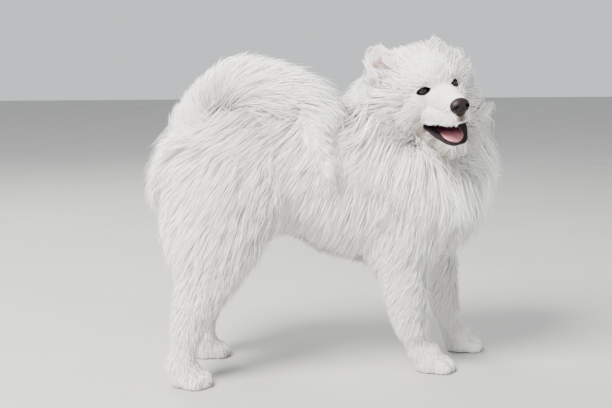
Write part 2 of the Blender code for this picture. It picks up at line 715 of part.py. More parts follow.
def build():
    clear_scene()
    rng = random.Random(SEED)
    body = body_core()
    boolean(body, head_core(), "UNION")
    keep_largest(body)
    tail = fuse(chain_hulls(TAIL), BODY_VOXEL, 4, TAIL_TRIANGLES)
    outside = envelope((BODY_CHAINS, WORLD), (HEAD_CHAINS, HEAD))
    locks = body_locks(body, outside, tree_of(tail), rng)
    keep_largest(boolean(body, locks, "UNION"))
    fringe = tail_locks(tail, envelope(([TAIL], WORLD)), rng)
    keep_largest(boolean(tail, fringe, "UNION"))

    tongue = hull(ball_points(*TONGUE_ROOT, HEAD, 10) + ball_points(*TONGUE_TIP, HEAD, 10))
    nodes = {"nose": nose(), "tongue": tongue}
    for side, word in ((-1, "right"), (1, "left")):
        centre = (EYE_CENTRE[0], side * EYE_CENTRE[1], EYE_CENTRE[2])
        nodes["eye_" + word] = ball(centre, (EYE_RADIUS,) * 3, HEAD, 12)
        boolean(body, lid_cutter(side), "DIFFERENCE")
    for name, (root, tip) in EARS.items():
        nodes[name] = ear(root, tip)
    boolean(body, mouth_cutter(), "DIFFERENCE")
    for piece in nodes.values():
        boolean(body, grown(piece), "DIFFERENCE")
        keep_largest(body)
    for cutter in (grown(body, 2 * GAP), copy_of(body)):
        keep_largest(boolean(tail, cutter, "DIFFERENCE"))

    for name, (place, turned) in PAWS.items():
        nodes[name] = paw(place, turned)
        reach = 0.075
        below = block((-reach, -reach, -0.1), (reach, reach, ANKLE + GAP), Matrix.Translation(place))
        boolean(body, below, "DIFFERENCE")
    keep_largest(body)

    nodes["tail_plume"] = part_off(tail, "tail_plume", block((TAIL_SPLIT, -0.5, 0.2), (0.3, 0.5, 0.9)))
    nodes["tail_base"] = tail
    jaw = prism(JAW_OUTLINE, 1, -JAW_HALF_WIDTH, JAW_HALF_WIDTH, HEAD)
    nodes["jaw"] = part_off(body, "jaw", jaw)
    nodes["head"] = part_off(body, "head", prism(HEAD_OUTLINE, 1, -0.3, 0.3, HEAD))
    nodes["neck"] = part_off(body, "neck", prism(NECK_OUTLINE, 1, -0.4, 0.4))
    for side, word, fore, hind in ((-1, "right", (0.02, 0.262), -0.10), (1, "left", (0.10, 0.345), -0.07)):
        inner = side * 0.010
        outer = side * 0.3
        outline = [(inner, 0.262), (outer, 0.48), (outer, -0.05), (inner, -0.05)]
        nodes["foreleg_" + word] = part_off(body, "foreleg", prism(outline, 0, *fore))
        outline = [(-0.5, 0.270), (-0.05, 0.210), (-0.05, -0.05), (-0.5, -0.05)]
        shank = prism(outline, 1, *sorted((inner, outer)))
        nodes["hindleg_" + word] = part_off(body, "hindleg", shank)
        outline = [(inner, 0.300), (outer, 0.62), (outer, -0.05), (inner, -0.05)]
        nodes["thigh_" + word] = part_off(body, "thigh", prism(outline, 0, -0.5, hind))
    nodes["torso"] = body

    for name, obj in nodes.items():
        obj.name = name
        obj.location = TO_ORIGIN
        paint(obj, WHITE_COAT, 0.9)
    for name in ("eye_left", "eye_right"):
        paint(nodes[name], DARK_EYE, 0.08)
    paint(nodes["nose"], DARK_NOSE, 0.35)
    paint(nodes["tongue"], PINK_TONGUE, 0.35)


build()
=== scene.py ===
"""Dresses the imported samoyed: one skin, a coat of fine tufts, eyes, nose, tongue and claws, on a pale floor.

Metres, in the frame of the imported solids: +X towards the dog's front, +Y to its left, +Z up.
The skin is laid out on the same chains of balls as the solids, without their share of the coat. The coat is
flat tapered blades: guides are grown along the lie of the hair, and the blades follow and gather on them.
"""

import json
import math
from collections import namedtuple

import bmesh
import bpy
import numpy as np
from mathutils import Matrix, Vector
from mathutils.bvhtree import BVHTree
from mathutils.kdtree import KDTree

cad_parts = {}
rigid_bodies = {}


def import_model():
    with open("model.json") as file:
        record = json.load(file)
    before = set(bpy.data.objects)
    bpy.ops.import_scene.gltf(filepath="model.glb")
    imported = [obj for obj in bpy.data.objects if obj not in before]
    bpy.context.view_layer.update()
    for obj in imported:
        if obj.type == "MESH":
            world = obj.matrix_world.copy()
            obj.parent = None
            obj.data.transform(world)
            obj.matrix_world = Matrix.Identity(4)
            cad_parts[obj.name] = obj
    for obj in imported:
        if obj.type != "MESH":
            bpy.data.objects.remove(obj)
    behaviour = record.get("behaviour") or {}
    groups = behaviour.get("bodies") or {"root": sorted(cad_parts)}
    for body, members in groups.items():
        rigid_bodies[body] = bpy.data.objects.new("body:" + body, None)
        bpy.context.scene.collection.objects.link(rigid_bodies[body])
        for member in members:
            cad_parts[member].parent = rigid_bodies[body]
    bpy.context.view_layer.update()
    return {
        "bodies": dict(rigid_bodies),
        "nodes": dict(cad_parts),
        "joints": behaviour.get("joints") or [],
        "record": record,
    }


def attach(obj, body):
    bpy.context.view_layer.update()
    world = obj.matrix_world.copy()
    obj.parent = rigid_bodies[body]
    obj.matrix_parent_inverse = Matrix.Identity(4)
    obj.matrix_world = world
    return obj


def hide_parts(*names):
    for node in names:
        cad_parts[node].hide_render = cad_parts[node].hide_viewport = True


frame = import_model()

SEED = 11
TO_ORIGIN = Vector((0.0101, 0.0294, 0.0))

# The photograph's viewing angle
CAMERA_PLACE = Vector((-0.4056, -2.1915, 0.69)) + TO_ORIGIN
CAMERA_YAW = math.radians(9.0)  # turned from +Y towards +X
CAMERA_PITCH = math.radians(8.311)  # looking down
CAMERA_LENS = 60.0

# The head's own frame: origin midway between the eyes, x to the nose, y to the dog's left, z up.
HEAD_ORIGIN = Vector((0.196, -0.15, 0.625))
HEAD_YAW = math.radians(-82)
HEAD_PITCH = math.radians(3)
HEAD_ROLL = math.radians(13)

# coat is how far the hair stands off the skin, and flow is its lie.
Ball = namedtuple("Ball", "centre radii coat flow")


def balls(*rows):
    """Balls from rows of centre, radii and coat in millimetres, and the flow."""
    made = []
    for centre, radii, coat, flow in rows:
        centre, radii = (tuple(value / 1000 for value in values) for values in (centre, radii))
        made.append(Ball(centre, radii, coat / 1000, flow))
    return made


TRUNK = balls(
    ((-240, 0, 430), (78, 75, 85), 88, (-0.5, 0, -1)),
    ((-140, 0, 450), (80, 78, 85), 52, (-0.6, 0, -1)),
    ((-50, 0, 445), (80, 85, 98), 55, (-0.5, 0, -1)),
    ((30, 0, 430), (90, 95, 122), 60, (-0.4, 0, -1)),
    ((110, 0, 420), (90, 100, 130), 60, (-0.3, 0, -1)),
    ((205, 0, 425), (75, 88, 95), 95, (0, 0, -1)),
)
NECK = balls(
    ((160, 0, 490), (90, 85, 85), 80, (-0.3, 0, -1)),
    ((185, -15, 560), (75, 65, 70), 80, (-0.2, 0.2, -1)),
    ((195, -35, 600), (62, 55, 40), 75, (-0.1, 0.6, -0.8)),
)
RUFF = balls(
    ((180, 10, 500), (70, 60, 70), 80, (0.1, 0.2, -1)),
    ((240, -25, 510), (55, 50, 55), 78, (0.2, 0.3, -1)),
)
FORELEG_RIGHT = balls(
    ((150, -68, 400), (60, 36, 75), 55, (-0.3, 0, -1)),
    ((133, -80, 290), (44, 32, 46), 30, (-0.6, 0, -1)),
    ((148, -83, 200), (34, 28, 30), 22, (-0.7, 0, -1)),
    ((158, -84, 120), (27, 25, 28), 15, (-0.6, 0, -1)),
    ((182, -81, 50), (26, 26, 24), 6, (0.2, 0, -1)),
)
FORELEG_LEFT = balls(
    ((185, 68, 400), (60, 36, 75), 55, (-0.3, 0, -1)),
    ((235, 76, 290), (44, 32, 46), 30, (-0.6, 0, -1)),
    ((270, 70, 200), (30, 26, 30), 18, (-0.7, 0, -1)),
    ((280, 67, 120), (26, 24, 28), 12, (-0.6, 0, -1)),
    ((298, 64, 50), (25, 26, 24), 6, (0.2, 0, -1)),
)
HINDLEG_RIGHT = balls(
    ((-235, -58, 420), (78, 40, 85), 70, (-0.5, 0, -1)),
    ((-262, -78, 315), (68, 36, 50), 48, (-0.4, 0, -1)),
    ((-275, -86, 235), (45, 30, 35), 30, (-0.4, 0, -1)),
    ((-318, -92, 150), (30, 22, 28), 14, (-0.3, 0, -1)),
    ((-338, -97, 55), (24, 24, 26), 8, (-0.1, 0, -1)),
)
HINDLEG_LEFT = balls(
    ((-235, 58, 420), (78, 40, 85), 70, (-0.5, 0, -1)),
    ((-235, 78, 315), (68, 36, 50), 48, (-0.4, 0, -1)),
    ((-240, 88, 235), (45, 30, 35), 30, (-0.4, 0, -1)),
    ((-275, 98, 150), (30, 22, 28), 14, (-0.3, 0, -1)),
    ((-283, 106, 55), (24, 24, 26), 8, (-0.1, 0, -1)),
)
TAIL = balls(
    ((-262, 0, 500), (34, 30, 32), 28, (-0.6, 0, 1)),
    ((-292, -3, 556), (22, 22, 22), 24, (-0.4, 0, 1)),
    ((-264, -10, 602), (22, 22, 22), 26, (0.2, 0, 1)),
    ((-205, -28, 620), (22, 24, 30), 46, (1, -0.1, 0.2)),
    ((-135, -55, 604), (18, 22, 32), 50, (1, -0.2, -0.3)),
    ((-70, -80, 585), (30, 12, 25), 50, (0.7, -0.4, -0.8)),
    ((-55, -130, 505), (14, 8, 14), 22, (0.4, -0.2, -1)),
    ((-35, -150, 450), (10, 6, 12), 14, (0.4, -0.1, -1)),
    ((-22, -156, 418), (4, 3, 4), 2, (0.4, -0.1, -1)),
)

# Longer hair that stands beside the inner edge and the outer edge of each ear, in the head's frame
FRINGE = balls(
    ((-66, 34, 52), (18, 18, 18), 46, (-0.2, 0.3, 1)),
    ((-90, 46, 72), (16, 16, 16), 30, (-0.1, -0.4, 1)),
    ((-85, 88, 48), (18, 18, 18), 30, (-0.3, 0.7, 0.8)),
)

# The head's chains lie in the head's frame. A pair has its right side mirrored from its left.
CRANIUM = balls(((-62, 0, 2), (74, 64, 61), 42, (-1, 0, 0.3)))
TEMPLE = balls(
    ((-85, 50, -6), (40, 30, 40), 72, (-0.6, 0.85, -0.1)),
    ((-90, 52, -58), (35, 30, 35), 74, (-0.5, 0.9, -0.45)),
)
NAPE = balls(
    ((-75, 0, -10), (60, 52, 48), 36, (-1, 0, -0.3)),
    ((-125, 0, -35), (50, 56, 50), 60, (-1, 0, -0.8)),
)
BROW = balls(((-20, 22, 16), (26, 24, 18), 28, (-1, 0, 0.3)))
CHEEK = balls(
    ((-34, 40, -24), (34, 20, 24), 24, (-1, 0.3, -0.3)),
    ((-72, 44, -44), (32, 26, 36), 54, (-0.6, 0.8, -0.5)),
)
MUZZLE = balls(
    ((0, 0, -24), (34, 34, 28), 12, (-1, 0, 0)),
    ((58, 0, -43), (20, 23.5, 20), 6, (-1, 0, 0)),
)
UPPER_LIP = balls(
    ((54, 12, -62), (20, 12.5, 18), 8, (-1, 0, -0.3)),
    ((-6, 33, -52), (26, 13, 18), 14, (-1, 0, -0.3)),
)
LOWER_JAW = balls(
    ((-52, 36, -66), (26, 18, 24), 12, (-1, 0, -0.5)),
    ((18, 14, -123), (16, 14, 11), 24, (-1, 0, -0.5)),
)
THROAT = balls(
    ((-10, 0, -112), (20, 20, 16), 24, (-1, 0, -0.5)),
    ((-80, 0, -85), (45, 45, 40), 60, (-0.7, 0, -1)),
)
# What fills the head round the mouth: from the chin and from under the nose back to the throat
MOUTH_FILLING = [
    balls(
        ((16, 0, -117.5), (18, 16, 10), 0, (-1, 0, 0)),
        ((10, 0, -78), (22, 26, 34), 0, (-1, 0, 0)),
        ((-45, 0, -62), (30, 36, 34), 0, (-1, 0, 0)),
    ),
    balls(((47, 0, -66), (20, 16, 12), 0, (-1, 0, 0)), ((-45, 0, -62), (30, 36, 34), 0, (-1, 0, 0))),
]
# The edges of both lips, from the corner of the mouth to the front
UPPER_RIM = [
    ((-0.016, 0.046, -0.063), 0.0045),
    ((0.03, 0.034, -0.071), 0.005),
    ((0.068, 0.01, -0.077), 0.005),
]
LOWER_RIM = [
    ((-0.016, 0.045, -0.073), 0.0045),
    ((0.008, 0.034, -0.095), 0.005),
    ((0.026, 0.022, -0.111), 0.005),
    ((0.034, 0.009, -0.118), 0.0048),
]
# Between the lips: the corner of the mouth, and the upper and lower edges of its open front
MOUTH_CORNER = (-0.02, 0.06, -0.0685)
MOUTH_TOP = (0.125, 0.06, -0.088)
MOUTH_BOTTOM = (0.085, 0.06, -0.16)
MOUTH_EDGE = 0.003
UPPER_LIP_DARK = 0.002  # how wide the dark edge of each lip shows
LOWER_LIP_DARK = 0.0012

# Stains of the white hair, and painted shade: the place on the left side in the head's frame, the size and the
# strength
STAINS_AND_SHADE = [
    # Round the corner of the mouth and under the lower lip: partly real stains, partly painted shade
    ((-0.021, 0.055, -0.079), 0.038, 1.25),
    ((0.003, 0.042, -0.105), 0.034, 1.05),
    # Painted shade under the chin and under the nose
    ((0.018, 0.028, -0.126), 0.034, 1.0),
    ((0.072, 0.0, -0.066), 0.017, 1.5),
    # Along the upper lip and behind the corner of the mouth: partly real stains, partly painted shade
    ((0.03, 0.034, -0.075), 0.016, 0.6),
    ((-0.038, 0.05, -0.083), 0.028, 1.05),
    # A grey spot over each eye
    ((0.01, 0.032, 0.0155), 0.009, 1.0),
    # Painted shade along the crease from the outer corner of the eye down the cheek
    ((0.001, 0.06, -0.001), 0.014, 0.4),
    ((-0.006, 0.074, -0.009), 0.015, 0.4),
    ((-0.011, 0.087, -0.015), 0.016, 0.4),
    ((-0.016, 0.098, -0.026), 0.017, 0.4),
    ((-0.025, 0.103, -0.043), 0.018, 0.35),
    # Darker partway up each ear
    ((-0.098, 0.077, 0.062), 0.024, 0.55),
]

EYE_CENTRE = (-0.012, 0.032, 0.0)
EYE_RADIUS = 0.0115
LID_RADIUS = 0.015
LID_OPENING = (0.0138, 0.0066)  # half the width and half the height between the lids
LID_POINT = 0.15  # how much flatter the opening is towards its corners
LID_SLANT = math.radians(-8)
LID_TURN = math.radians(24)
NOSE_CENTRE = (0.075, 0, -0.0405)
NOSE_RADII = (0.015, 0.0212, 0.0165)
NOSE_BASE = ((0.07, 0, -0.05), (0.014, 0.013, 0.012))
NOSE_GROOVE = (((0.091, 0, -0.036), (0.0012, 0.0006, 0.0012)), ((0.088, 0, -0.062), (0.003, 0.0008, 0.0012)))
NOSTRIL_CENTRE = (0.087, 0.0095, -0.0415)
NOSTRIL_RADII = (0.0065, 0.0035, 0.0042)
TONGUE_ROOT = (-0.016, 0, -0.081)
TONGUE_TIP = (0.0225, 0, -0.1085)
TONGUE_END = 0.012  # how far it reaches past both
TONGUE_HALF_WIDTH = 0.0225
TONGUE_HALF_HEIGHT = 0.0066
TONGUE_GROOVE = 0.0022
FAR_SIDE_SHADE = 0.13

# Each ear: the middle of its root, and its tip
EARS = {
    "right": ((-0.08, -0.068, 0.03), (-0.11, -0.088, 0.105)),
    "left": ((-0.082, 0.066, 0.024), (-0.112, 0.072, 0.088)),
}
EAR_HALF_WIDTH = 0.029
EAR_CUP = 0.018
EAR_FACING = (0.9, 0.4)  # forwards, and outwards

FACE_LEAST = 0.25  # the share of the coat that the face keeps
# By height in the head's frame: how far back the short hair reaches, and half the width of the change
FACE_LIMIT = [
    (-0.13, -0.045, 0.018),
    (-0.085, -0.05, 0.016),
    (-0.06, -0.072, 0.012),
    (-0.044, -0.088, 0.009),
    (-0.034, -0.077, 0.009),
    (-0.019, -0.056, 0.009),
    (0.0, -0.038, 0.012),
    (0.03, -0.054, 0.018),
]
LEFT_RUFF = 0.018  # how much further forward the turned head pushes the ruff on its left
# Where the long coat begins below the face and beside it
FACE_CHIN = -0.108
FACE_CHEST = -0.155
FACE_SIDE = 0.075
NECK_SIDE = 0.11

SOLE_SUNK = 0.004
TOE_SPREAD = (-0.024, -0.0085, 0.0085, 0.024)
TOE_REACH = (0.026, 0.037, 0.037, 0.026)
CLAW_LENGTH = 0.016
CLAW_RADIUS = 0.0034
CLAW_HEIGHT = 0.0165
PAWS = {
    "forepaw_right": ((0.205, -0.08, 0), -8),
    "forepaw_left": ((0.318, 0.063, 0), 4),
    "hindpaw_right": ((-0.33, -0.098, 0), -22),
    "hindpaw_left": ((-0.276, 0.107, 0), 12),
}

EVENED_ANKLE = (0.036, 0.056, 0.085, 0.11)  # by height: where it begins, is full, begins to fade and ends

BODY_VOXEL = 0.0056
HEAD_VOXEL = 0.0019
PAW_VOXEL = 0.0022
NOSE_VOXEL = 0.0008

# The coat
GUIDE_SPACING = (0.0042, 0.0105)  # under the shortest and the longest hair
TUFT_SPACING = (0.00155, 0.0018)
TUFT_WIDTH = (0.0009, 0.0015)
LONG_COAT = 0.06  # the depth at which the second of each pair is reached
LENGTH_FOR_DEPTH = 1.5
LEADER_SHARE = 0.1  # how many guides lead the larger locks
LEADER_PULL = 0.13
NEAR_GUIDES = 4  # how many guides each tuft takes its shape from
LOOSE = 0.16  # how far a tip hangs free of the skin's shape
FLOW_STRAY = 0.055  # how far the lie of the guides wanders, and how far it leans out of the skin
FLOW_LIFT = 0.05
LIFT = (0.45, 0.58)  # the least share of the depth that a tuft rises to, and what chance adds
TUFT_SIZE = (0.7, 1.08)
GATHER = (0.04, 0.09)  # how far tufts lean on their guide: short ones, and what length adds
STRAY = (0.0007, 0.05)  # how far tips stray and middles bend, at no depth and for each metre of it
WAVE = (0.0003, 0.012)
ROLL = math.radians(24)
ROOT_SUNK = 0.0006
OVER_FLOOR = 0.0015
SOLE_HEIGHT = 0.0025  # no hair grows lower
SHORTEST_HAIR = 0.008
LEAST_DEPTH = 0.0022
CALM_BEHIND = -0.03  # where the skin's direction is evened out before hair grows from it
CALM_ABOVE = 0.08
CALM_ROUNDS = 8
DEPTH_ROUNDS = 6
FLOW_ROUNDS = 60
DEPTH_FALL = -5  # how fast the say of a ball falls with distance
FLOW_FALL = -3.5
NEAREST = 0.008
MEASURED = 0.012  # a coat deeper than this is measured up to the outside of the hulls
RAY_REACH = 0.15
BARE = 0.35  # skin more naked than this grows no hair
CUP_HAIR = 0.06  # the share of the hair that grows inside the ears
EYE_CLEARANCE = 0.0015  # how far hair keeps off the eyes, the nose and the lips
NOSE_CLEARANCE = 0.0005
LIP_CLEARANCE = 0.0045
PATCH = 0.003  # the size of each tuft's patch on the unwrapped skin
PIECE_TRIANGLES = 190000


def turn(yaw, pitch, roll):
    """Forward, left and up of a body turned by these angles, as the columns of a matrix."""
    forward = Vector((math.cos(yaw) * math.cos(pitch), math.sin(yaw) * math.cos(pitch), math.sin(pitch)))
    left = Vector((-math.sin(yaw), math.cos(yaw), 0))
    up = forward.cross(left)
    rolled_left = left * math.cos(roll) + up * math.sin(roll)
    rolled_up = up * math.cos(roll) - left * math.sin(roll)
    return Matrix((forward, rolled_left, rolled_up)).transposed().to_4x4()


WORLD = Matrix.Translation(TO_ORIGIN)
HEAD = WORLD @ Matrix.Translation(HEAD_ORIGIN) @ turn(HEAD_YAW, HEAD_PITCH, HEAD_ROLL)
HEAD_INVERSE = HEAD.inverted()


def on_side(place, side):
    """A place of the left side, put on the side of this sign."""
    return (place[0], side * place[1], place[2])


def mirrored(chain):
    """The chain on the other side of its frame's middle plane."""
    return [link._replace(centre=on_side(link.centre, -1), flow=on_side(link.flow, -1)) for link in chain]


BODY_CHAINS = [TRUNK, NECK, RUFF, FORELEG_LEFT, FORELEG_RIGHT, HINDLEG_LEFT, HINDLEG_RIGHT, TAIL]
HEAD_CHAINS = [CRANIUM, NAPE, MUZZLE, THROAT]
for pair in (TEMPLE, BROW, CHEEK, UPPER_LIP, LOWER_JAW):
    HEAD_CHAINS += [pair, mirrored(pair)]


def ear_coat(root, tip):
    """Balls along an ear for the depth and the lie of its short hair."""
    root, tip = Vector(root), Vector(tip)
    along = tuple(tip - root)
    coats = ((0.25, 0.026, 0.008), (0.6, 0.022, 0.0045), (1.0, 0.012, 0.0045))
    return [Ball(tuple(root.lerp(tip, t)), (size,) * 3, coat, along) for t, size, coat in coats]


EAR_COATS = [ear_coat(root, tip) for root, tip in EARS.values()]
FRINGES = [FRINGE, mirrored(FRINGE)]


def smoothstep(low, high, value):
    t = np.clip((value - low) / (high - low), 0.0, 1.0)
    return t * t * (3 - 2 * t)


def unit(vectors):
    return vectors / np.maximum(np.linalg.norm(vectors, axis=-1, keepdims=True), 1e-9)


def in_head(points):
    """Points of the world in the head's frame."""
    matrix = np.array(HEAD_INVERSE)
    return points @ matrix[:3, :3].T + matrix[:3, 3]


# Solid shapes


def placed(name, data):
    obj = bpy.data.objects.new(name, data)
    bpy.context.scene.collection.objects.link(obj)
    return obj


def new_object(name, bm):
    mesh = bpy.data.meshes.new(name)
    bm.to_mesh(mesh)
    bm.free()
    return placed(name, mesh)


def hull(points):
    """The convex hull of the points, as an object."""
    bm = bmesh.new()
    for point in points:
        bm.verts.new(point)
    made = bmesh.ops.convex_hull(bm, input=bm.verts)
    unused = {part for key in ("geom_interior", "geom_unused") for part in made[key]}
    loose = [part for part in unused if isinstance(part, bmesh.types.BMVert)]
    bmesh.ops.delete(bm, geom=loose, context="VERTS")
    bmesh.ops.recalc_face_normals(bm, faces=bm.faces)
    return new_object("hull", bm)


def ball_points(centre, radii, frame=WORLD, steps=20):
    """Points spread over an ellipsoid whose axes are those of the frame."""
    points = [frame @ Vector((centre[0], centre[1], centre[2] + side * radii[2])) for side in (-1, 1)]
    for i in range(1, steps // 2):
        polar = 2 * math.pi * i / steps
        for j in range(steps):
            around = 2 * math.pi * j / steps
            ring = math.sin(polar)
            offset = (ring * math.cos(around), ring * math.sin(around), math.cos(polar))
            points.append(frame @ Vector([c + r * o for c, r, o in zip(centre, radii, offset)]))
    return points


def ball(centre, radii, frame=WORLD, steps=20):
    return hull(ball_points(centre, radii, frame, steps))


def face_share(points):
    """The share of the coat that grows at each point: it dies away round the front of the head."""
    local = in_head(points)
    heights, limits, widths = zip(*FACE_LIMIT)
    limit, width = (np.interp(local[:, 2], heights, values) for values in (limits, widths))
    limit += LEFT_RUFF * smoothstep(0.02, 0.06, local[:, 1])
    behind = smoothstep(1.0, -1.0, (local[:, 0] - limit) / width)
    below = smoothstep(FACE_CHIN, FACE_CHEST, local[:, 2])
    beside = smoothstep(FACE_SIDE, NECK_SIDE, np.abs(local[:, 1]))
    return 1 - (1 - FACE_LEAST) * (1 - behind) * (1 - below) * (1 - beside)


def chain_hulls(chain, frame=WORLD, share=0.0):
    """Hulls from each ball of the chain to the next, with a share of the coat on them."""
    clouds = []
    for link in chain:
        skin = np.array(ball_points(link.centre, link.radii, frame))
        coated = np.array(ball_points(link.centre, [r + share * link.coat for r in link.radii], frame))
        grows = face_share(skin)[:, None]
        clouds.append([Vector(point) for point in skin + (coated - skin) * grows])
    if len(clouds) == 1:
        return [hull(clouds[0])]
    return [hull(a + b) for a, b in zip(clouds, clouds[1:])]


def applied(obj):
    """The object with its modifiers made into its mesh."""
    graph = bpy.context.evaluated_depsgraph_get()
    mesh = bpy.data.meshes.new_from_object(obj.evaluated_get(graph))
    obj.modifiers.clear()
    obj.data = mesh
    return obj


def join(objects):
    bm = bmesh.new()
    for obj in objects:
        bm.from_mesh(obj.data)
        bpy.data.objects.remove(obj)
    return new_object("joined", bm)


def evened(obj, rounds):
    smooth = obj.modifiers.new("smooth", "SMOOTH")
    smooth.factor = 0.5
    smooth.iterations = rounds
    return applied(obj)


def fuse(objects, voxel, rounds):
    """The objects melted into one smooth closed mesh."""
    obj = join(objects)
    remesh = obj.modifiers.new("melt", "REMESH")
    remesh.mode = "VOXEL"
    remesh.voxel_size = voxel
    return evened(obj, rounds)


def boolean(obj, others, operation):
    """obj joined with or cut by the others, which are then removed."""
    pieces = bpy.data.collections.new("pieces")
    bpy.context.scene.collection.children.link(pieces)
    for piece in others:
        pieces.objects.link(piece)
    modifier = obj.modifiers.new("boolean", "BOOLEAN")
    modifier.operation = operation
    modifier.operand_type = "COLLECTION"
    modifier.collection = pieces
    modifier.solver = "MANIFOLD"
    applied(obj)
    for piece in others:
        bpy.data.objects.remove(piece)
    bpy.data.collections.remove(pieces)
    return obj


def keep_largest(obj):
    """Drops every loose piece of the mesh but the one of most vertices."""
    bm = bmesh.new()
    bm.from_mesh(obj.data)
    left = set(bm.verts)
    islands = []
    while left:
        front = [left.pop()]
        island = set(front)
        while front:
            near = {edge.other_vert(vert) for vert in front for edge in vert.link_edges} & left
            left -= near
            island |= near
            front = list(near)
        islands.append(island)
    islands.sort(key=len)
    scraps = [vert for island in islands[:-1] for vert in island]
    bmesh.ops.delete(bm, geom=scraps, context="VERTS")
    bm.to_mesh(obj.data)
    bm.free()
    return obj


def rods(rim):
    """Hulls along the edge of a lip, on both sides of the mouth, and across its front."""
    sides = []
    for side in (-1, 1):
        sides.append([ball_points(on_side(place, side), (size,) * 3, HEAD, 10) for place, size in rim])
    lengths = [hull(a + b) for clouds in sides for a, b in zip(clouds, clouds[1:])]
    return lengths + [hull(sides[0][-1] + sides[1][-1])]


def head_flesh():
    hulls = rods(UPPER_RIM) + rods(LOWER_RIM)
    for chain in HEAD_CHAINS + MOUTH_FILLING:
        hulls += chain_hulls(chain, HEAD)
    for side in (-1, 1):
        hulls.append(ball(on_side(EYE_CENTRE, side), (LID_RADIUS,) * 3, HEAD))
    return fuse(hulls, HEAD_VOXEL, 14)


def paw_frame(place, turned):
    paw = WORLD @ Matrix.Translation(place) @ Matrix.Rotation(math.radians(turned), 4, "Z")
    return paw @ Matrix.Translation((0, 0, -SOLE_SUNK))


def paw_flesh(place, turned):
    """A paw of four toes, pressed flat on the floor."""
    at = paw_frame(place, turned)
    wrist = ball_points((-0.012, 0, 0.05), (0.028, 0.028, 0.022), at)
    hulls = [hull(wrist + ball_points((0.0, 0, 0.022), (0.031, 0.03, 0.024), at))]
    for across, reach in zip(TOE_SPREAD, TOE_REACH):
        knuckle = ball_points((0.0, across * 0.7, 0.028), (0.016, 0.011, 0.018), at)
        hulls.append(hull(knuckle + ball_points((reach, across, 0.015), (0.013, 0.0112, 0.015), at)))
    paw = fuse(hulls, PAW_VOXEL, 3)
    for vertex in paw.data.vertices:
        vertex.co.z = max(vertex.co.z, 0.0008)
    return paw


def add_tube(bm, rings):
    """Faces from each ring of points to the next, and over both ends."""
    rings = [[bm.verts.new(point) for point in ring] for ring in rings]
    for a, b in zip(rings, rings[1:]):
        for j in range(len(a)):
            k = (j + 1) % len(a)
            bm.faces.new((a[j], a[k], b[k], b[j]))
    bm.faces.new(rings[0])
    bm.faces.new(rings[-1])


def claw_rings(at, across, reach, steps=6, around=10):
    """A blunt claw that leaves its toe forwards and bends to the floor."""
    rings = []
    for i in range(steps + 1):
        t = i / steps
        height = CLAW_HEIGHT - 0.004 * t - 0.006 * t * t
        centre = Vector((reach + 0.006 + CLAW_LENGTH * t, across * (1 + 0.08 * t), height))
        size = CLAW_RADIUS * (1 - 0.85 * t ** 1.6)
        ring = []
        for j in range(around):
            angle = 2 * math.pi * j / around
            offset = Vector((0, 0.8 * size * math.cos(angle), size * math.sin(angle)))
            ring.append(at @ (centre + offset))
        rings.append(ring)
    return rings


def claws():
    bm = bmesh.new()
    for place, turned in PAWS.values():
        for across, reach in zip(TOE_SPREAD, TOE_REACH):
            add_tube(bm, claw_rings(paw_frame(place, turned), across, reach))
    bmesh.ops.recalc_face_normals(bm, faces=bm.faces)
    return new_object("claws", bm)


def mouth_cutter():
    points = []
    for place in (MOUTH_CORNER, MOUTH_TOP, MOUTH_BOTTOM):
        for side in (-1, 1):
            points += ball_points(on_side(place, side), (MOUTH_EDGE,) * 3, HEAD, 12)
    return hull(points)


def lid_axes(side):
    """Outwards, across to the outer corner, and above, for one eye in the head's frame."""
    outward = Vector((math.cos(LID_TURN), side * math.sin(LID_TURN), 0))
    across = Vector((-math.sin(LID_TURN), side * math.cos(LID_TURN), 0))
    across = across * math.cos(LID_SLANT) + Vector((0, 0, math.sin(LID_SLANT)))
    return outward, across, outward.cross(across) * side


def lid_cutter(side):
    """An almond through the lids, from the ball of the eye outwards."""
    centre = Vector(on_side(EYE_CENTRE, side))
    outward, across, above = lid_axes(side)
    half_width, half_height = LID_OPENING
    points = []
    for i in range(24):
        angle = 2 * math.pi * i / 24
        width = half_width * math.cos(angle)
        height = half_height * math.sin(angle) * (1 - LID_POINT * abs(math.cos(angle)))
        for out in (0.004, 0.03):
            points.append(HEAD @ (centre + across * width + above * height + outward * out))
    return hull(points)


def ear(root, tip, rows=26, columns=21):
    """A cupped ear with a rounded tip: a sheet bent round its long axis, thick below and thin at the rim."""
    root, tip = Vector(root), Vector(tip)
    side = 1 if root.y > 0 else -1
    along = (tip - root).normalized()
    facing = Vector((EAR_FACING[0], side * EAR_FACING[1], 0))
    facing = (facing - along * facing.dot(along)).normalized()
    across = along.cross(facing)
    bm = bmesh.new()
    sheet = {}
    for face in (1, -1):
        for i in range(rows):
            t = i / (rows - 1)
            width = EAR_HALF_WIDTH * math.sqrt(1 - 0.99 * t ** 2.2)
            for j in range(columns):
                s = 2 * j / (columns - 1) - 1
                thick = (0.008 * (1 - t) + 0.004) * (1 - 0.5 * s * s)
                cup = EAR_CUP * (1 - s * s) * (1 - 0.7 * t)
                place = root.lerp(tip, t) + across * width * s + facing * (face * thick / 2 - cup)
                sheet[face, i, j] = bm.verts.new(HEAD @ place)
    for i in range(rows - 1):
        for j in range(columns - 1):
            for face in (1, -1):
                a, b = sheet[face, i, j], sheet[face, i, j + 1]
                c, d = sheet[face, i + 1, j + 1], sheet[face, i + 1, j]
                bm.faces.new((a, b, c))
                bm.faces.new((a, c, d))
    rim = [(0, j) for j in range(columns)] + [(i, columns - 1) for i in range(1, rows)]
    rim += [(rows - 1, j) for j in range(columns - 2, -1, -1)] + [(i, 0) for i in range(rows - 2, 0, -1)]
    for (i, j), (k, l) in zip(rim, rim[1:] + rim[:1]):
        bm.faces.new((sheet[1, i, j], sheet[1, k, l], sheet[-1, k, l], sheet[-1, i, j]))
    bmesh.ops.recalc_face_normals(bm, faces=bm.faces)
    return new_object("ear", bm)


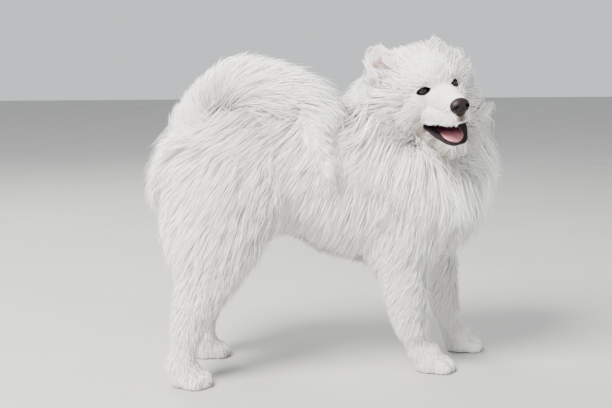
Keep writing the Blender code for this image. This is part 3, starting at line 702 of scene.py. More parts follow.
def soften_ankles(skin):
    """Evens out the ring where each leg runs into its paw."""
    places = places_of(skin.data)
    height = places[:, 2]
    weight = smoothstep(*EVENED_ANKLE[:2], height) * (1 - smoothstep(*EVENED_ANKLE[2:], height))
    places += (smoothed(places, edges_of(skin.data), 30) - places) * weight[:, None]
    skin.data.vertices.foreach_set("co", places.astype(np.float32).ravel())
    skin.data.update()


def build_skin():
    """The whole hide, from nose to tail, as one closed mesh with its lids, lips, ear cups and toes."""
    skin = fuse([h for chain in BODY_CHAINS for h in chain_hulls(chain)], BODY_VOXEL, 8)
    parts = [head_flesh()]
    parts += [paw_flesh(place, turned) for place, turned in PAWS.values()]
    parts += [ear(root, tip) for root, tip in EARS.values()]
    boolean(skin, parts, "UNION")
    cutters = [mouth_cutter(), lid_cutter(-1), lid_cutter(1)]
    for side in (-1, 1):
        cutters.append(ball(on_side(EYE_CENTRE, side), (EYE_RADIUS + 0.0002,) * 3, HEAD, 32))
    for cutter in cutters:
        boolean(skin, [cutter], "DIFFERENCE")
    keep_largest(skin)
    soften_ankles(skin)
    skin.name = "skin"
    skin.data.name = "skin"
    skin.data.shade_smooth()
    return skin


# Fields over the skin


def read(items, field, kind, width):
    """One field of every item of a mesh, as rows of this width."""
    values = np.empty(len(items) * width, kind)
    items.foreach_get(field, values)
    return values.reshape(-1, width)


def places_of(mesh):
    return read(mesh.vertices, "co", np.float32, 3).astype(float)


def edges_of(mesh):
    return read(mesh.edges, "vertices", np.int32, 2)


def off_ball(points, link, at):
    """About how far outside the ball's surface each point lies."""
    return np.linalg.norm(points - np.array(at @ Vector(link.centre)), axis=1) - sum(link.radii) / 3


def coat_field(points):
    """The coat's depth and lie at each point, from the nearest balls most of all."""
    depth, flow, total = np.zeros(len(points)), np.zeros((len(points), 3)), np.zeros(len(points))
    for chains, at in ((BODY_CHAINS, WORLD), (HEAD_CHAINS + EAR_COATS + FRINGES, HEAD)):
        for chain in chains:
            for link in chain:
                lie = np.array((at.to_3x3() @ Vector(link.flow)).normalized())
                away = np.maximum(0.0, off_ball(points, link, at)) + NEAREST
                weight = away ** DEPTH_FALL
                depth += weight * link.coat
                flow += (away ** FLOW_FALL)[:, None] * lie
                total += weight
    return depth / total * face_share(points), unit(flow)


def outside_tree():
    """The outside of the whole coat, as hulls that overlap, to be looked up by rays."""
    hulls = []
    for chains, at in ((BODY_CHAINS, WORLD), (HEAD_CHAINS, HEAD)):
        for chain in chains:
            hulls += chain_hulls(chain, at, 1.0)
    whole = join(hulls)
    tree = tree_of(whole)
    bpy.data.objects.remove(whole)
    return tree


def tree_of(obj):
    bm = bmesh.new()
    bm.from_mesh(obj.data)
    tree = BVHTree.FromBMesh(bm)
    bm.free()
    return tree


def measured_depth(points, normals, guess):
    """How far the coat's outside stands over the skin, kept near what the balls say."""
    tree = outside_tree()
    depth = guess.copy()
    for i, (point, normal) in enumerate(zip(points, normals)):
        if guess[i] < MEASURED:
            continue
        start, down = Vector(point + normal * RAY_REACH), Vector(-normal)
        distance = tree.ray_cast(start, down, RAY_REACH)[3]
        if distance is not None:
            depth[i] = RAY_REACH - distance
    return np.clip(depth, 0.6 * guess, 1.7 * guess + 0.004)


def smoothed(values, edges, rounds):
    """Values at vertices, evened out along the edges."""
    values = values.astype(float)
    count = np.bincount(edges.ravel(), minlength=len(values))
    for _ in range(rounds):
        total = np.zeros_like(values)
        np.add.at(total, edges[:, 0], values[edges[:, 1]])
        np.add.at(total, edges[:, 1], values[edges[:, 0]])
        mean = (total.T / np.maximum(count, 1)).T
        values = 0.4 * values + 0.6 * mean
    return values


def mouth_edges(x):
    """The heights of the upper and the lower edge of the open mouth, in the head's frame."""
    edges = []
    for front in (MOUTH_TOP, MOUTH_BOTTOM):
        slope = (front[2] - MOUTH_CORNER[2]) / (front[0] - MOUTH_CORNER[0])
        edges.append(MOUTH_CORNER[2] + (x - MOUTH_CORNER[0]) * slope)
    return edges


def between_lips(local):
    """How far inside the line of the upper lips each point of the head's frame lies."""
    along, aside = zip(*((place[0], place[1] - 0.002) for place, _ in UPPER_RIM))
    return np.interp(local[:, 0], along, aside, right=-1.0) - np.abs(local[:, 1])


def round_the_eye(local, side):
    """How far across, above and out of one eye each point of the head's frame lies."""
    outward, across, above = (np.array(axis) for axis in lid_axes(side))
    offset = local - np.array(on_side(EYE_CENTRE, side))
    return offset @ across, offset @ above, offset @ outward


def rim_masks(points):
    """Dark bare skin of lips, mouth and lids, and pink bare skin in the ears, from 0 to 1 at each point."""
    local = in_head(points)
    dark = np.zeros(len(points))
    x, y, z = local.T
    upper, lower = mouth_edges(x)
    above_lip = z - upper - UPPER_LIP_DARK
    below_lip = lower - z - LOWER_LIP_DARK
    behind = MOUTH_CORNER[0] - x - LOWER_LIP_DARK
    outside = np.maximum(np.maximum(above_lip, below_lip), behind) - MOUTH_EDGE
    near = (np.abs(y) < 0.062) & (x > -0.035) & (z > -0.15)
    dark = np.where(near, 1 - smoothstep(0.0, 0.0015, outside), dark)
    for side in (-1, 1):
        wide, high, out = round_the_eye(local, side)
        opening = LID_OPENING[1] * (1 - LID_POINT * np.clip(np.abs(wide) / LID_OPENING[0], 0, 1))
        round_eye = np.sqrt((wide / (LID_OPENING[0] + 0.0022)) ** 2 + (high / (opening + 0.0022)) ** 2)
        rim = (1 - smoothstep(0.95, 1.12, round_eye)) * (out > 0.0)
        dark = np.maximum(dark, rim)
    pink = np.zeros(len(points))
    for root, tip in EARS.values():
        root, tip = np.array(root), np.array(tip)
        along = unit(tip - root)
        facing = np.array((EAR_FACING[0], math.copysign(EAR_FACING[1], root[1]), 0.0))
        facing = unit(facing - along * (facing @ along))
        offset = local - root
        t = (offset @ along) / np.linalg.norm(tip - root)
        across = np.cross(along, facing)
        s = np.abs(offset @ across) / EAR_HALF_WIDTH
        cup = EAR_CUP * (1 - np.clip(s, 0, 1) ** 2) * (1 - 0.7 * t)
        front = smoothstep(-0.002, 0.001, offset @ facing + cup)
        inside = smoothstep(0.05, 0.2, t) * (1 - smoothstep(0.6, 0.85, t))
        inside *= 1 - smoothstep(0.45, 0.75, s)
        pink = np.maximum(pink, front * inside * (np.linalg.norm(offset, axis=1) < 0.1))
    return dark, pink


def stain_and_shade_mask(points):
    """Where the white is darkened by stains or by painted shade, from 0 to 1, at each point."""
    local = in_head(points)
    stain = np.zeros(len(points))
    for centre, size, strength in STAINS_AND_SHADE:
        for side in (-1, 1):
            away = np.linalg.norm(local - np.array(on_side(centre, side)), axis=1)
            stain = np.maximum(stain, strength * (1 - smoothstep(0.0, size, away)))
    return stain


def put_attribute(mesh, name, values):
    attribute = mesh.attributes.new(name, "FLOAT", "POINT")
    attribute.data.foreach_set("value", np.asarray(values, np.float32))


def unwrap(obj):
    """Unwraps the skin's own shape onto the map that its coat shares."""
    obj.data.uv_layers.new(name="OFBake")
    bpy.context.view_layer.objects.active = obj
    obj.select_set(True)
    bpy.ops.object.mode_set(mode="EDIT")
    bpy.ops.mesh.select_all(action="SELECT")
    bpy.ops.uv.smart_project(angle_limit=math.radians(66), island_margin=0.001)
    bpy.ops.object.mode_set(mode="OBJECT")
    obj.select_set(False)


# The coat

Hide = namedtuple("Hide", "places normals depth flow bare pink stain corners areas maps face_depth tree")


def survey(skin):
    """What the coat needs to know of the skin."""
    mesh = skin.data
    places, edges = places_of(mesh), edges_of(mesh)
    normals = read(mesh.vertex_normals, "vector", np.float32, 3).astype(float)
    guess, flow = coat_field(places)
    depth = smoothed(measured_depth(places, normals, guess), edges, DEPTH_ROUNDS)
    depth = np.maximum(depth, LEAST_DEPTH)
    calm = (in_head(places)[:, 0] < CALM_BEHIND) & (places[:, 2] > CALM_ABOVE)
    normals = np.where(calm[:, None], unit(smoothed(normals, edges, CALM_ROUNDS)), normals)
    flow = unit(smoothed(flow, edges, FLOW_ROUNDS))
    dark, pink = rim_masks(places)
    stain = stain_and_shade_mask(places)
    for name, values in (("stain", stain), ("dark", dark), ("pink", pink)):
        put_attribute(mesh, name, values)
    mesh.calc_loop_triangles()
    corners = read(mesh.loop_triangles, "vertices", np.int32, 3)
    loops = read(mesh.loop_triangles, "loops", np.int32, 3)
    maps = read(mesh.uv_layers["OFBake"].data, "uv", np.float32, 2)[loops]
    a, b, c = (places[corners[:, i]] for i in range(3))
    areas = np.linalg.norm(np.cross(b - a, c - a), axis=1) / 2
    starts = read(mesh.polygons, "loop_start", np.int32, 1)[:, 0]
    face_depth = depth[read(mesh.loops, "vertex_index", np.int32, 1)[starts, 0]]
    bare, tree = np.maximum(dark, pink), tree_of(skin)
    return Hide(places, normals, depth, flow, bare, pink, stain, corners, areas, maps, face_depth, tree)


def scatter(hide, spacing, rng):
    """Seeded random roots over the skin: their triangle and their place in it."""
    depth = hide.depth[hide.corners].mean(axis=1)
    apart = np.interp(depth, (0, LONG_COAT), spacing)
    expected = hide.areas / apart ** 2
    count = rng.poisson(expected)
    which = np.repeat(np.arange(len(count)), count)
    u, v = rng.random(len(which)), rng.random(len(which))
    flip = u + v > 1
    u[flip], v[flip] = 1 - u[flip], 1 - v[flip]
    return which, np.stack((1 - u - v, u, v), axis=1)


def reader(hide, which, share):
    """A function that reads values at the skin's vertices off at each root."""
    corners = hide.corners[which]
    return lambda values: np.einsum("ij,ij...->i...", share, values[corners])


STEPS = np.array((0.0, 0.36, 0.7, 1.0))


def grow_guides(hide, rng):
    """Guide hairs: their roots, and paths that follow the skin's shape at the coat's depth."""
    at_roots = reader(hide, *scatter(hide, GUIDE_SPACING, rng))
    roots, depth = at_roots(hide.places), at_roots(hide.depth)
    normals, flow = unit(at_roots(hide.normals)), unit(at_roots(hide.flow))
    flow = unit(flow + rng.normal(0, FLOW_STRAY, flow.shape))
    along = flow - normals * np.einsum("ij,ij->i", flow, normals)[:, None]
    along = along + normals * FLOW_LIFT
    length = SHORTEST_HAIR + LENGTH_FOR_DEPTH * depth
    reach = np.sqrt(np.maximum(length ** 2 - depth ** 2, 1e-8))
    weak = np.linalg.norm(along, axis=1) < 0.25
    along = unit(along)
    along[weak] = unit(along[weak] + normals[weak] * 0.4)
    paths = np.empty((len(roots), len(STEPS), 3))
    for k, t in enumerate(STEPS):
        lift = 1 - (1 - t) ** 2
        free = roots + along * (reach * t)[:, None]
        hang = free + normals * (depth * lift)[:, None]
        if t == 0:
            paths[:, k] = hang
            continue
        for i in range(len(roots)):
            near, out, face, _ = hide.tree.find_nearest(Vector(free[i]))
            height = min(hide.face_depth[face], 1.4 * depth[i]) * lift
            follow = np.array(near + out * height)
            paths[i, k] = follow + (hang[i] - follow) * LOOSE * t
    leaders = np.flatnonzero(rng.random(len(roots)) < LEADER_SHARE)
    nearest = leaders[nearest_of(roots[leaders], roots, 1)[0][:, 0]]
    pull = LEADER_PULL * smoothstep(0.01, 0.05, depth)[:, None] * STEPS[None] ** 1.5
    paths += (paths[nearest] - paths) * pull[:, :, None]
    return roots, paths - roots[:, None]


def nearest_of(targets, places, count):
    """The nearest targets to each place, and how far away they are."""
    tree = KDTree(len(targets))
    for i, target in enumerate(targets):
        tree.insert(target, i)
    tree.balance()
    found = np.empty((len(places), count), np.int32)
    away = np.empty((len(places), count))
    for i, place in enumerate(places):
        near = tree.find_n(place, count)
        found[i] = [one[1] for one in near]
        away[i] = [one[2] for one in near]
    return found, away


Tufts = namedtuple("Tufts", "paths across width maps tone stain where")


def grow_tufts(hide, rng):
    """Every tuft of the coat: its path, the direction of its width, and its root's place on the map."""
    guide_roots, guide_paths = grow_guides(hide, rng)
    which, share = scatter(hide, TUFT_SPACING, rng)
    at_roots = reader(hide, which, share)
    in_cup = (at_roots(hide.pink) > 0.2) & (rng.random(len(which)) < CUP_HAIR)
    kept = (at_roots(hide.bare) < BARE) | in_cup
    kept &= at_roots(hide.places)[:, 2] > SOLE_HEIGHT
    which, share = which[kept], share[kept]
    at_roots = reader(hide, which, share)
    roots, depth, normals = at_roots(hide.places), at_roots(hide.depth), unit(at_roots(hide.normals))
    maps = np.einsum("ij,ijk->ik", share, hide.maps[which])
    found, away = nearest_of(guide_roots, roots, NEAR_GUIDES)
    count = len(roots)
    weight = 1 / (away + 0.001) ** 2
    weight /= weight.sum(axis=1, keepdims=True)
    shape = sum(guide_paths[found[:, k]] * weight[:, k, None, None] for k in range(NEAR_GUIDES))
    rise = np.einsum("ijk,ik->ij", shape, normals)
    lie = shape - rise[:, :, None] * normals[:, None]
    lift = LIFT[0] + LIFT[1] * np.sqrt(rng.random(count))
    size = rng.uniform(*TUFT_SIZE, count)
    risen = normals[:, None] * (rise * (lift * size)[:, None])[:, :, None]
    own = roots[:, None] + (lie * size[:, None, None]) + risen
    leader = guide_paths[found[:, 0]]
    lead_rise = np.einsum("ijk,ik->ij", leader, normals)
    lead = guide_roots[found[:, 0]][:, None] + leader * size[:, None, None]
    lead = lead + normals[:, None] * (lead_rise * ((lift - 1) * size)[:, None])[:, :, None]
    long = smoothstep(0.004, 0.04, depth)
    gather = (GATHER[0] + GATHER[1] * long) * rng.uniform(0.2, 1.3, count)
    pull = gather[:, None] * STEPS[None] ** 1.4
    paths = own + (lead - own) * pull[:, :, None]
    stray = rng.normal(0, 1, (count, 3)) * (STRAY[0] + STRAY[1] * depth)[:, None]
    wave = rng.normal(0, 1, (count, 3)) * (WAVE[0] + WAVE[1] * depth)[:, None]
    bow = np.sin(math.pi * STEPS)
    paths += stray[:, None] * (STEPS ** 2)[None, :, None] + wave[:, None] * bow[None, :, None]
    paths[:, 0] -= normals * ROOT_SUNK
    paths[:, 1:, 2] = np.maximum(paths[:, 1:, 2], OVER_FLOOR)
    ahead = np.empty_like(paths)
    ahead[:, :-1] = paths[:, 1:] - paths[:, :-1]
    ahead[:, -1] = ahead[:, -2]
    rolled = np.tan(np.clip(rng.normal(0, ROLL, count), -1.2, 1.2))
    facing = normals[:, None] + unit(np.cross(ahead, normals[:, None])) * rolled[:, None, None]
    across = unit(np.cross(ahead, facing))
    width = np.interp(depth, (0, LONG_COAT), TUFT_WIDTH) * rng.uniform(0.7, 1.3, count)
    tone = 0.3 * rng.random(len(guide_roots))[found[:, 0]] + 0.7 * rng.random(count)
    clear = clear_of_face(paths)
    stain = at_roots(hide.stain)
    return Tufts(*(values[clear] for values in (paths, across, width, maps, tone, stain, roots)))


def clear_of_face(paths):
    """Which tufts cross neither an eye, nor the nose, nor the open mouth."""
    clear = np.ones(len(paths), bool)
    for step in range(1, len(STEPS)):
        local = in_head(paths[:, step])
        for side in (-1, 1):
            wide, high, out = round_the_eye(local, side)
            wide, high = wide / (LID_OPENING[0] + EYE_CLEARANCE), high / (LID_OPENING[1] + EYE_CLEARANCE)
            clear &= (wide ** 2 + high ** 2 > 1) | (out < 0) | (out > 0.05)
        offset = (local - np.array(NOSE_CENTRE)) / (np.array(NOSE_RADII) + NOSE_CLEARANCE)
        clear &= np.sum(offset ** 2, axis=1) > 1
        x, y, z = local.T
        upper, lower = mouth_edges(x)
        inside = (z < upper - 0.0005) & (z > lower + 0.001) & (x > MOUTH_CORNER[0])
        clear &= ~(inside & (np.abs(y) < 0.048) & (x < 0.1))
        clear &= (between_lips(local) < 0) | (z > upper + LIP_CLEARANCE) | (z < lower - LIP_CLEARANCE)
    return clear


# A tuft: its width at each step, the step and the side of each of its points, and the corners of its faces
PROFILE = np.array((0.75, 1.0, 0.7, 0.0))
POINT_STEPS = np.array((0, 0, 1, 1, 2, 2, 3))
POINT_SIDES = np.array((-0.5, 0.5, -0.5, 0.5, -0.5, 0.5, 0.0))
FACE_CORNERS = np.array((0, 1, 3, 2, 2, 3, 5, 4, 4, 5, 6), np.int32)
FACE_STARTS = np.array((0, 4, 8), np.int32)
TUFT_TRIANGLES = 5


def coat_piece(name, tufts, chosen):
    """One joined mesh of the chosen tufts, each two quads and a pointed tip."""
    half = tufts.width[chosen][:, None] * PROFILE[None] / 2
    aside = (2 * POINT_SIDES * half[:, POINT_STEPS])[:, :, None]
    points = tufts.paths[chosen][:, POINT_STEPS] + tufts.across[chosen][:, POINT_STEPS] * aside
    points = points.astype(np.float32).reshape(-1, 3)
    number = np.arange(len(half), dtype=np.int32)[:, None]
    loops = (number * len(POINT_STEPS) + FACE_CORNERS).ravel()
    starts = (number * len(FACE_CORNERS) + FACE_STARTS).ravel()
    mesh = bpy.data.meshes.new(name)
    mesh.vertices.add(len(points))
    mesh.vertices.foreach_set("co", points.ravel())
    mesh.loops.add(len(loops))
    mesh.loops.foreach_set("vertex_index", loops)
    mesh.polygons.add(len(starts))
    mesh.polygons.foreach_set("loop_start", starts)
    mesh.update(calc_edges=True)
    mesh.polygons.foreach_set("use_smooth", np.ones(len(starts), bool))
    patch = np.stack((POINT_SIDES, STEPS[POINT_STEPS] - 0.5), axis=1) * PATCH
    uv = tufts.maps[chosen][:, None] + patch[None]
    uv = np.clip(uv.reshape(-1, 2)[loops], 0.0, 1.0)
    layer = mesh.uv_layers.new(name="OFBake")
    layer.data.foreach_set("uv", uv.astype(np.float32).ravel())
    put_attribute(mesh, "along", np.tile(STEPS[POINT_STEPS], len(half)))
    tone, at_root = (np.repeat(values[chosen], len(POINT_STEPS)) for values in (tufts.tone, tufts.stain))
    put_attribute(mesh, "tone", tone)
    put_attribute(mesh, "stain", np.maximum(at_root, stain_and_shade_mask(points)))
    return placed(name, mesh)


REGIONS = {
    "coat_trunk": (TRUNK, WORLD),
    "coat_neck": (NECK + RUFF, WORLD),
    "coat_forelegs": (FORELEG_LEFT + FORELEG_RIGHT, WORLD),
    "coat_hindlegs": (HINDLEG_LEFT + HINDLEG_RIGHT, WORLD),
    "coat_tail": (TAIL, WORLD),
    "coat_head": ([link for chain in HEAD_CHAINS for link in chain], HEAD),
}


def coat_pieces(tufts):
    """The coat in pieces, by the part of the body that each tuft grows on."""
    nearest = np.full(len(tufts.where), 9.0)
    region = np.zeros(len(tufts.where), int)
    for number, (links, at) in enumerate(REGIONS.values()):
        for link in links:
            away = off_ball(tufts.where, link, at)
            closer = away < nearest
            nearest[closer], region[closer] = away[closer], number
    pieces = []
    for number, name in enumerate(REGIONS):
        members = np.flatnonzero(region == number)
        members = members[np.argsort(tufts.where[members, 0], kind="stable")]
        parts = max(1, math.ceil(len(members) * TUFT_TRIANGLES / PIECE_TRIANGLES))
        for part, chosen in enumerate(np.array_split(members, parts)):
            pieces.append(coat_piece(name if parts == 1 else f"{name}_{part + 1}", tufts, chosen))
    return pieces


# Eyes, nose and tongue


def eye(side, word):
    """The ball of an eye with a low clear swelling in front, turned to look along its lids."""
    outward, across, above = lid_axes(side)
    bm = bmesh.new()
    bmesh.ops.create_uvsphere(bm, u_segments=48, v_segments=32, radius=EYE_RADIUS)
    for vert in bm.verts:
        swell = max(0.0, (vert.co.z / EYE_RADIUS - 0.8) / 0.2)
        vert.co *= 1 + 0.05 * swell * (2 - swell)
    obj = new_object("eyeball_" + word, bm)
    axes = Matrix((across, outward.cross(across), outward)).transposed().to_4x4()
    obj.matrix_world = HEAD @ Matrix.Translation(on_side(EYE_CENTRE, side)) @ axes
    obj.data.shade_smooth()
    return obj


def nose():
    """The leather of the nose, with nostrils like commas and a groove down its middle."""
    obj = fuse([ball(NOSE_CENTRE, NOSE_RADII, HEAD, 32), ball(*NOSE_BASE, HEAD, 24)], NOSE_VOXEL, 4)
    pits = []
    along, aside, above = NOSTRIL_CENTRE
    for side in (-1, 1):
        front = ball_points((along + 0.001, side * aside, above), NOSTRIL_RADII, HEAD, 12)
        end = (along - 0.007, side * (aside + 0.007), above - 0.0015)
        slit = ball_points(end, (0.004, 0.003, 0.0016), HEAD, 12)
        pits.append(hull(front))
        pits.append(hull(front[:20] + slit))
    upper_end, lower_end = (ball_points(*end, HEAD, 8) for end in NOSE_GROOVE)
    pits.append(hull(upper_end + lower_end))
    for pit in pits:
        boolean(obj, [pit], "DIFFERENCE")
    evened(obj, 3)
    obj.name = "nose_leather"
    obj.data.shade_smooth()
    return obj


def tongue():
    """A wide, soft tongue over the lower jaw, with a groove and a rounded tip."""
    root, tip = np.array(TONGUE_ROOT), np.array(TONGUE_TIP)
    along = unit(tip - root)
    rows, around = 30, 32
    rings = []
    for i in range(rows + 1):
        t = i / rows
        reach = -TONGUE_END + (np.linalg.norm(tip - root) + 2 * TONGUE_END) * t
        centre = root + along * reach
        end = math.sqrt(max(0.0, 1 - max(0.0, (t - 0.62) / 0.38) ** 2.2))
        half = (TONGUE_HALF_WIDTH + 0.0005 * t) * max(end, 0.04)
        thick = (TONGUE_HALF_HEIGHT - 0.0008 * t) * max(end, 0.15)
        bow = 0.0025 * math.sin(math.pi * min(1.0, t * 1.1))
        ring = []
        for j in range(around):
            angle = 2 * math.pi * j / around
            side, height = math.cos(angle), math.sin(angle)
            groove = -TONGUE_GROOVE * math.exp(-((side * half) / 0.004) ** 2) * (height > 0) * end
            above = thick * height + groove + bow + 0.003 * side * side * t
            ring.append(HEAD @ Vector(centre + np.array((0, half * side, above))))
        rings.append(ring)
    bm = bmesh.new()
    add_tube(bm, rings)
    bmesh.ops.recalc_face_normals(bm, faces=bm.faces)
    obj = new_object("tongue_flesh", bm)
    # Painted shade: the value falls on the far side, where the lips shadow the tongue
    shaded = FAR_SIDE_SHADE * np.cos(np.linspace(0.0, 2 * math.pi, around, endpoint=False))
    put_attribute(obj.data, "along", (np.linspace(0.0, 1.0, rows + 1)[:, None] - shaded).ravel())
    obj.data.shade_smooth()
    return obj


# Materials

COLOUR_MIX_INPUTS = (0, 6, 7)  # the factor and the two colours among the mix node's sockets
COLOUR_MIX_OUTPUT = 2


def feed(tree, socket, value):
    """Links the value to the socket, or sets the socket where the value is a plain number or colour."""
    if isinstance(value, bpy.types.NodeSocket):
        tree.links.new(value, socket)
    elif socket.type == "RGBA":
        socket.default_value = (*value, 1.0)
    else:
        socket.default_value = value


def material(name, roughness, specular=0.5, **others):
    made = bpy.data.materials.new(name)
    made.use_nodes = True
    tree = made.node_tree
    shader = tree.nodes["Principled BSDF"]
    settings = {"Roughness": roughness, "Specular_IOR_Level": specular, **others}
    for key, value in settings.items():
        feed(tree, shader.inputs[key.replace("_", " ")], value)
    return made, tree, shader


def node(tree, kind, **settings):
    made = tree.nodes.new(kind)
    for key, value in settings.items():
        if key in made.inputs:
            feed(tree, made.inputs[key], value)
        else:
            setattr(made, key, value)
    return made


def ramp(tree, source, stops):
    """A colour ramp over a value, from pairs of place and colour."""
    made = node(tree, "ShaderNodeValToRGB", Fac=source)
    elements = made.color_ramp.elements
    while len(elements) < len(stops):
        elements.new(0.5)
    for element, (place, colour) in zip(elements, stops):
        element.position = place
        element.color = (*colour, 1.0)
    return made.outputs["Color"]


def mix(tree, fac, a, b, blend="MIX"):
    """Colours a and b mixed, where each of the three may be a socket or a plain value."""
    made = node(tree, "ShaderNodeMix", data_type="RGBA", blend_type=blend)
    for index, value in zip(COLOUR_MIX_INPUTS, (fac, a, b)):
        feed(tree, made.inputs[index], value)
    return made.outputs[COLOUR_MIX_OUTPUT]


def attribute(tree, name):
    return node(tree, "ShaderNodeAttribute", attribute_name=name).outputs["Fac"]


def own_place(tree):
    return tree.nodes.new("ShaderNodeTexCoord").outputs["Object"]


def noise(tree, scale, detail=3.0, stretch=None):
    """Noise over the object's own coordinates."""
    place = own_place(tree)
    if stretch:
        place = node(tree, "ShaderNodeMapping", Vector=place, Scale=stretch).outputs["Vector"]
    return node(tree, "ShaderNodeTexNoise", Vector=place, Scale=scale, Detail=detail).outputs["Fac"]


def bump(tree, shader, height, strength, distance):
    made = node(tree, "ShaderNodeBump", Height=height, Strength=strength, Distance=distance)
    feed(tree, shader.inputs["Normal"], made.outputs["Normal"])


# Painted shade in the coat: darker and warmer at the root, lighter at the tip
SHADED_ROOT_COLOUR = (0.88, 0.84, 0.79)
HAIR_COLOUR = (0.92, 0.905, 0.88)
TIP_COLOUR = (0.955, 0.95, 0.94)
CREAM = (0.96, 0.9, 0.82)
# The colour of stains, and of the painted shade round the mouth, under the nose and along the cheek's crease
STAIN_AND_SHADE_COLOUR = (0.33, 0.285, 0.25)
# From the middle of the eye outwards, as a share of its radius
IRIS = (
    (0.24, (0.003, 0.002, 0.002)),
    (0.3, (0.01, 0.005, 0.003)),
    (0.52, (0.008, 0.004, 0.003)),
    (0.62, (0.008, 0.005, 0.004)),
    (0.8, (0.012, 0.007, 0.006)),
)


def coat_material():
    made, tree, shader = material("white_coat", 0.55, 0.3, Sheen_Weight=0.35, Sheen_Roughness=0.4)
    # Painted shade: each tuft darker towards its root and lighter at its tip
    shaded_strand = ((0.0, SHADED_ROOT_COLOUR), (0.45, HAIR_COLOUR), (1.0, TIP_COLOUR))
    length = ramp(tree, attribute(tree, "along"), shaded_strand)
    patches = ramp(tree, noise(tree, 7.0), ((0.45, (0, 0, 0)), (0.75, (0.35, 0.35, 0.35))))
    tinted = mix(tree, patches, length, CREAM, "MULTIPLY")
    shade = ramp(tree, attribute(tree, "tone"), ((0.0, (0.92, 0.915, 0.905)), (1.0, (1.0, 1.0, 1.0))))
    shaded = mix(tree, 1.0, tinted, shade, "MULTIPLY")
    # Real stains and painted shade darken the hair where the mask carried on each tuft says
    stained_and_shaded = mix(tree, attribute(tree, "stain"), shaded, STAIN_AND_SHADE_COLOUR, "MULTIPLY")
    feed(tree, shader.inputs["Base Color"], stained_and_shaded)
    return made


def skin_material():
    made, tree, shader = material("hide", 0.6, 0.2)
    # Patches of the skin run from the coat's painted root shade to the hair's colour
    patches = ramp(tree, noise(tree, 9.0), ((0.35, SHADED_ROOT_COLOUR), (0.75, HAIR_COLOUR)))
    pink = ramp(tree, noise(tree, 60.0), ((0.3, (0.18, 0.105, 0.08)), (0.8, (0.36, 0.235, 0.19))))
    dark = ramp(tree, noise(tree, 180.0), ((0.3, (0.009, 0.006, 0.008)), (0.8, (0.03, 0.018, 0.022))))
    # Real stains and painted shade darken the skin as they do the hair
    stained_and_shaded = mix(tree, attribute(tree, "stain"), patches, STAIN_AND_SHADE_COLOUR, "MULTIPLY")
    with_pink = mix(tree, attribute(tree, "pink"), stained_and_shaded, pink)
    feed(tree, shader.inputs["Base Color"], mix(tree, attribute(tree, "dark"), with_pink, dark))
    gloss = ramp(tree, attribute(tree, "dark"), ((0.4, (0.65, 0.65, 0.65)), (0.9, (0.8, 0.8, 0.8))))
    feed(tree, shader.inputs["Roughness"], gloss)
    bump(tree, shader, noise(tree, 420.0, 4.0, (1.0, 3.0, 1.0)), 0.5, 0.0006)
    return made


def eye_material():
    """Nearly black pupil, dark brown iris with fine rays, and a darker rim, under a wet surface."""
    made, tree, shader = material("eye", 0.04, 0.25, Coat_Weight=0.25, Coat_Roughness=0.02)
    flat = node(tree, "ShaderNodeVectorMath", operation="MULTIPLY")
    feed(tree, flat.inputs[0], own_place(tree))
    feed(tree, flat.inputs[1], (1 / EYE_RADIUS, 1 / EYE_RADIUS, 0))
    away = node(tree, "ShaderNodeVectorMath", operation="LENGTH", Vector=flat.outputs["Vector"])
    iris = ramp(tree, away.outputs["Value"], IRIS)
    rays = ramp(tree, noise(tree, 900.0, 2.0), ((0.3, (0.7, 0.7, 0.7)), (0.7, (1.2, 1.2, 1.2))))
    feed(tree, shader.inputs["Base Color"], mix(tree, 1.0, iris, rays, "MULTIPLY"))
    return made


def nose_material():
    made, tree, shader = material("nose", 0.45, 0.2, Coat_Weight=0.05, Coat_Roughness=0.25)
    colour = ramp(tree, noise(tree, 70.0), ((0.3, (0.005, 0.004, 0.004)), (0.75, (0.02, 0.01, 0.009))))
    feed(tree, shader.inputs["Base Color"], colour)
    place = own_place(tree)
    cells = node(tree, "ShaderNodeTexVoronoi", feature="DISTANCE_TO_EDGE", Scale=900.0, Vector=place)
    bump(tree, shader, cells.outputs["Distance"], 0.45, 0.0004)
    return made


def tongue_material():
    made, tree, shader = material("tongue", 0.34, Subsurface_Weight=0.15, Subsurface_Scale=1.0)
    feed(tree, shader.inputs["Subsurface Radius"], (0.004, 0.001, 0.001))
    colour = ramp(tree, noise(tree, 45.0), ((0.3, (0.56, 0.19, 0.22)), (0.8, (0.74, 0.33, 0.35))))
    # Painted shade: darker towards the throat and on the far side, where the mouth and the lips shadow the
    # tongue
    shade = ramp(tree, attribute(tree, "along"), ((0.6, (0.12, 0.06, 0.1)), (0.86, (1.0, 1.0, 1.0))))
    feed(tree, shader.inputs["Base Color"], mix(tree, 1.0, colour, shade, "MULTIPLY"))
    bump(tree, shader, noise(tree, 1100.0, 2.0), 0.35, 0.0003)
    return made


def claw_material():
    made, tree, shader = material("claw", 0.35)
    colour = ramp(tree, noise(tree, 90.0), ((0.3, (0.2, 0.15, 0.11)), (0.8, (0.42, 0.34, 0.26))))
    feed(tree, shader.inputs["Base Color"], colour)
    bump(tree, shader, noise(tree, 500.0, 2.0), 0.2, 0.0002)
    return made


def give(obj, made):
    obj.data.materials.clear()
    obj.data.materials.append(made)


# Floor, lights and camera


def area_light(name, place, target, size, power, colour):
    data = bpy.data.lights.new(name, "AREA")
    data.shape = "DISK"
    data.size = size
    data.energy = power
    data.color = colour
    obj = placed(name, data)
    obj.location = place
    obj.rotation_euler = (Vector(target) - Vector(place)).to_track_quat("-Z", "Y").to_euler()


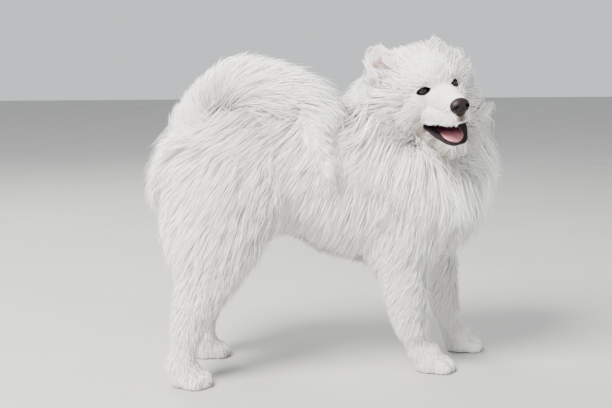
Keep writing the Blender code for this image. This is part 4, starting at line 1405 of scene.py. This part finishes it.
def stage():
    bm = bmesh.new()
    bmesh.ops.create_grid(bm, x_segments=8, y_segments=8, size=14.0)
    floor = new_object("floor", bm)
    floor.location.z = -0.0005
    made, tree, shader = material("floor", 0.85, 0.2)
    colour = ramp(tree, noise(tree, 3.0), ((0.3, (0.43, 0.426, 0.415)), (0.8, (0.47, 0.465, 0.455))))
    feed(tree, shader.inputs["Base Color"], colour)
    give(floor, made)
    world = bpy.data.worlds.new("studio")
    world.use_nodes = True
    world.node_tree.nodes["Background"].inputs["Color"].default_value = (0.7, 0.72, 0.74, 1.0)
    world.node_tree.nodes["Background"].inputs["Strength"].default_value = 1.15
    bpy.context.scene.world = world
    middle = (0.0, 0.0, 0.35)
    area_light("key", (-2.2, -1.9, 3.4), middle, 2.0, 680.0, (1.0, 0.98, 0.95))
    area_light("rim", (-1.0, 2.6, 2.8), middle, 1.6, 120.0, (1.0, 0.98, 0.95))
    area_light("fill", (2.4, -2.2, 1.2), middle, 2.4, 30.0, (0.88, 0.94, 1.0))


def camera():
    data = bpy.data.cameras.new("camera")
    data.lens = CAMERA_LENS
    data.sensor_width = 36.0
    obj = placed("camera", data)
    obj.location = CAMERA_PLACE
    obj.rotation_euler = (math.pi / 2 - CAMERA_PITCH, 0, -CAMERA_YAW)
    bpy.context.scene.camera = obj


FLESH = [
    "torso", "neck", "head", "jaw", "ear_left", "ear_right", "tail_base", "tail_plume",
    "thigh_left", "thigh_right", "hindleg_left", "hindleg_right", "hindpaw_left", "hindpaw_right",
    "foreleg_left", "foreleg_right", "forepaw_left", "forepaw_right",
]


def dress():
    rng = np.random.default_rng(SEED)
    skin = build_skin()
    unwrap(skin)
    hide = survey(skin)
    give(skin, skin_material())
    coat = coat_material()
    pieces = coat_pieces(grow_tufts(hide, rng))
    for piece in pieces:
        give(piece, coat)
    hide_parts(*FLESH)
    wet_eye = eye_material()
    for side, word in ((-1, "right"), (1, "left")):
        ball_of_eye = eye(side, word)
        give(ball_of_eye, wet_eye)
        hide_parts("eye_" + word)
        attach(ball_of_eye, "root")
    leather, flesh, horn = nose(), tongue(), claws()
    give(leather, nose_material())
    give(flesh, tongue_material())
    give(horn, claw_material())
    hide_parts("nose")
    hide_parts("tongue")
    for piece in [skin, leather, flesh, horn] + pieces:
        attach(piece, "root")


camera()
stage()
dress()
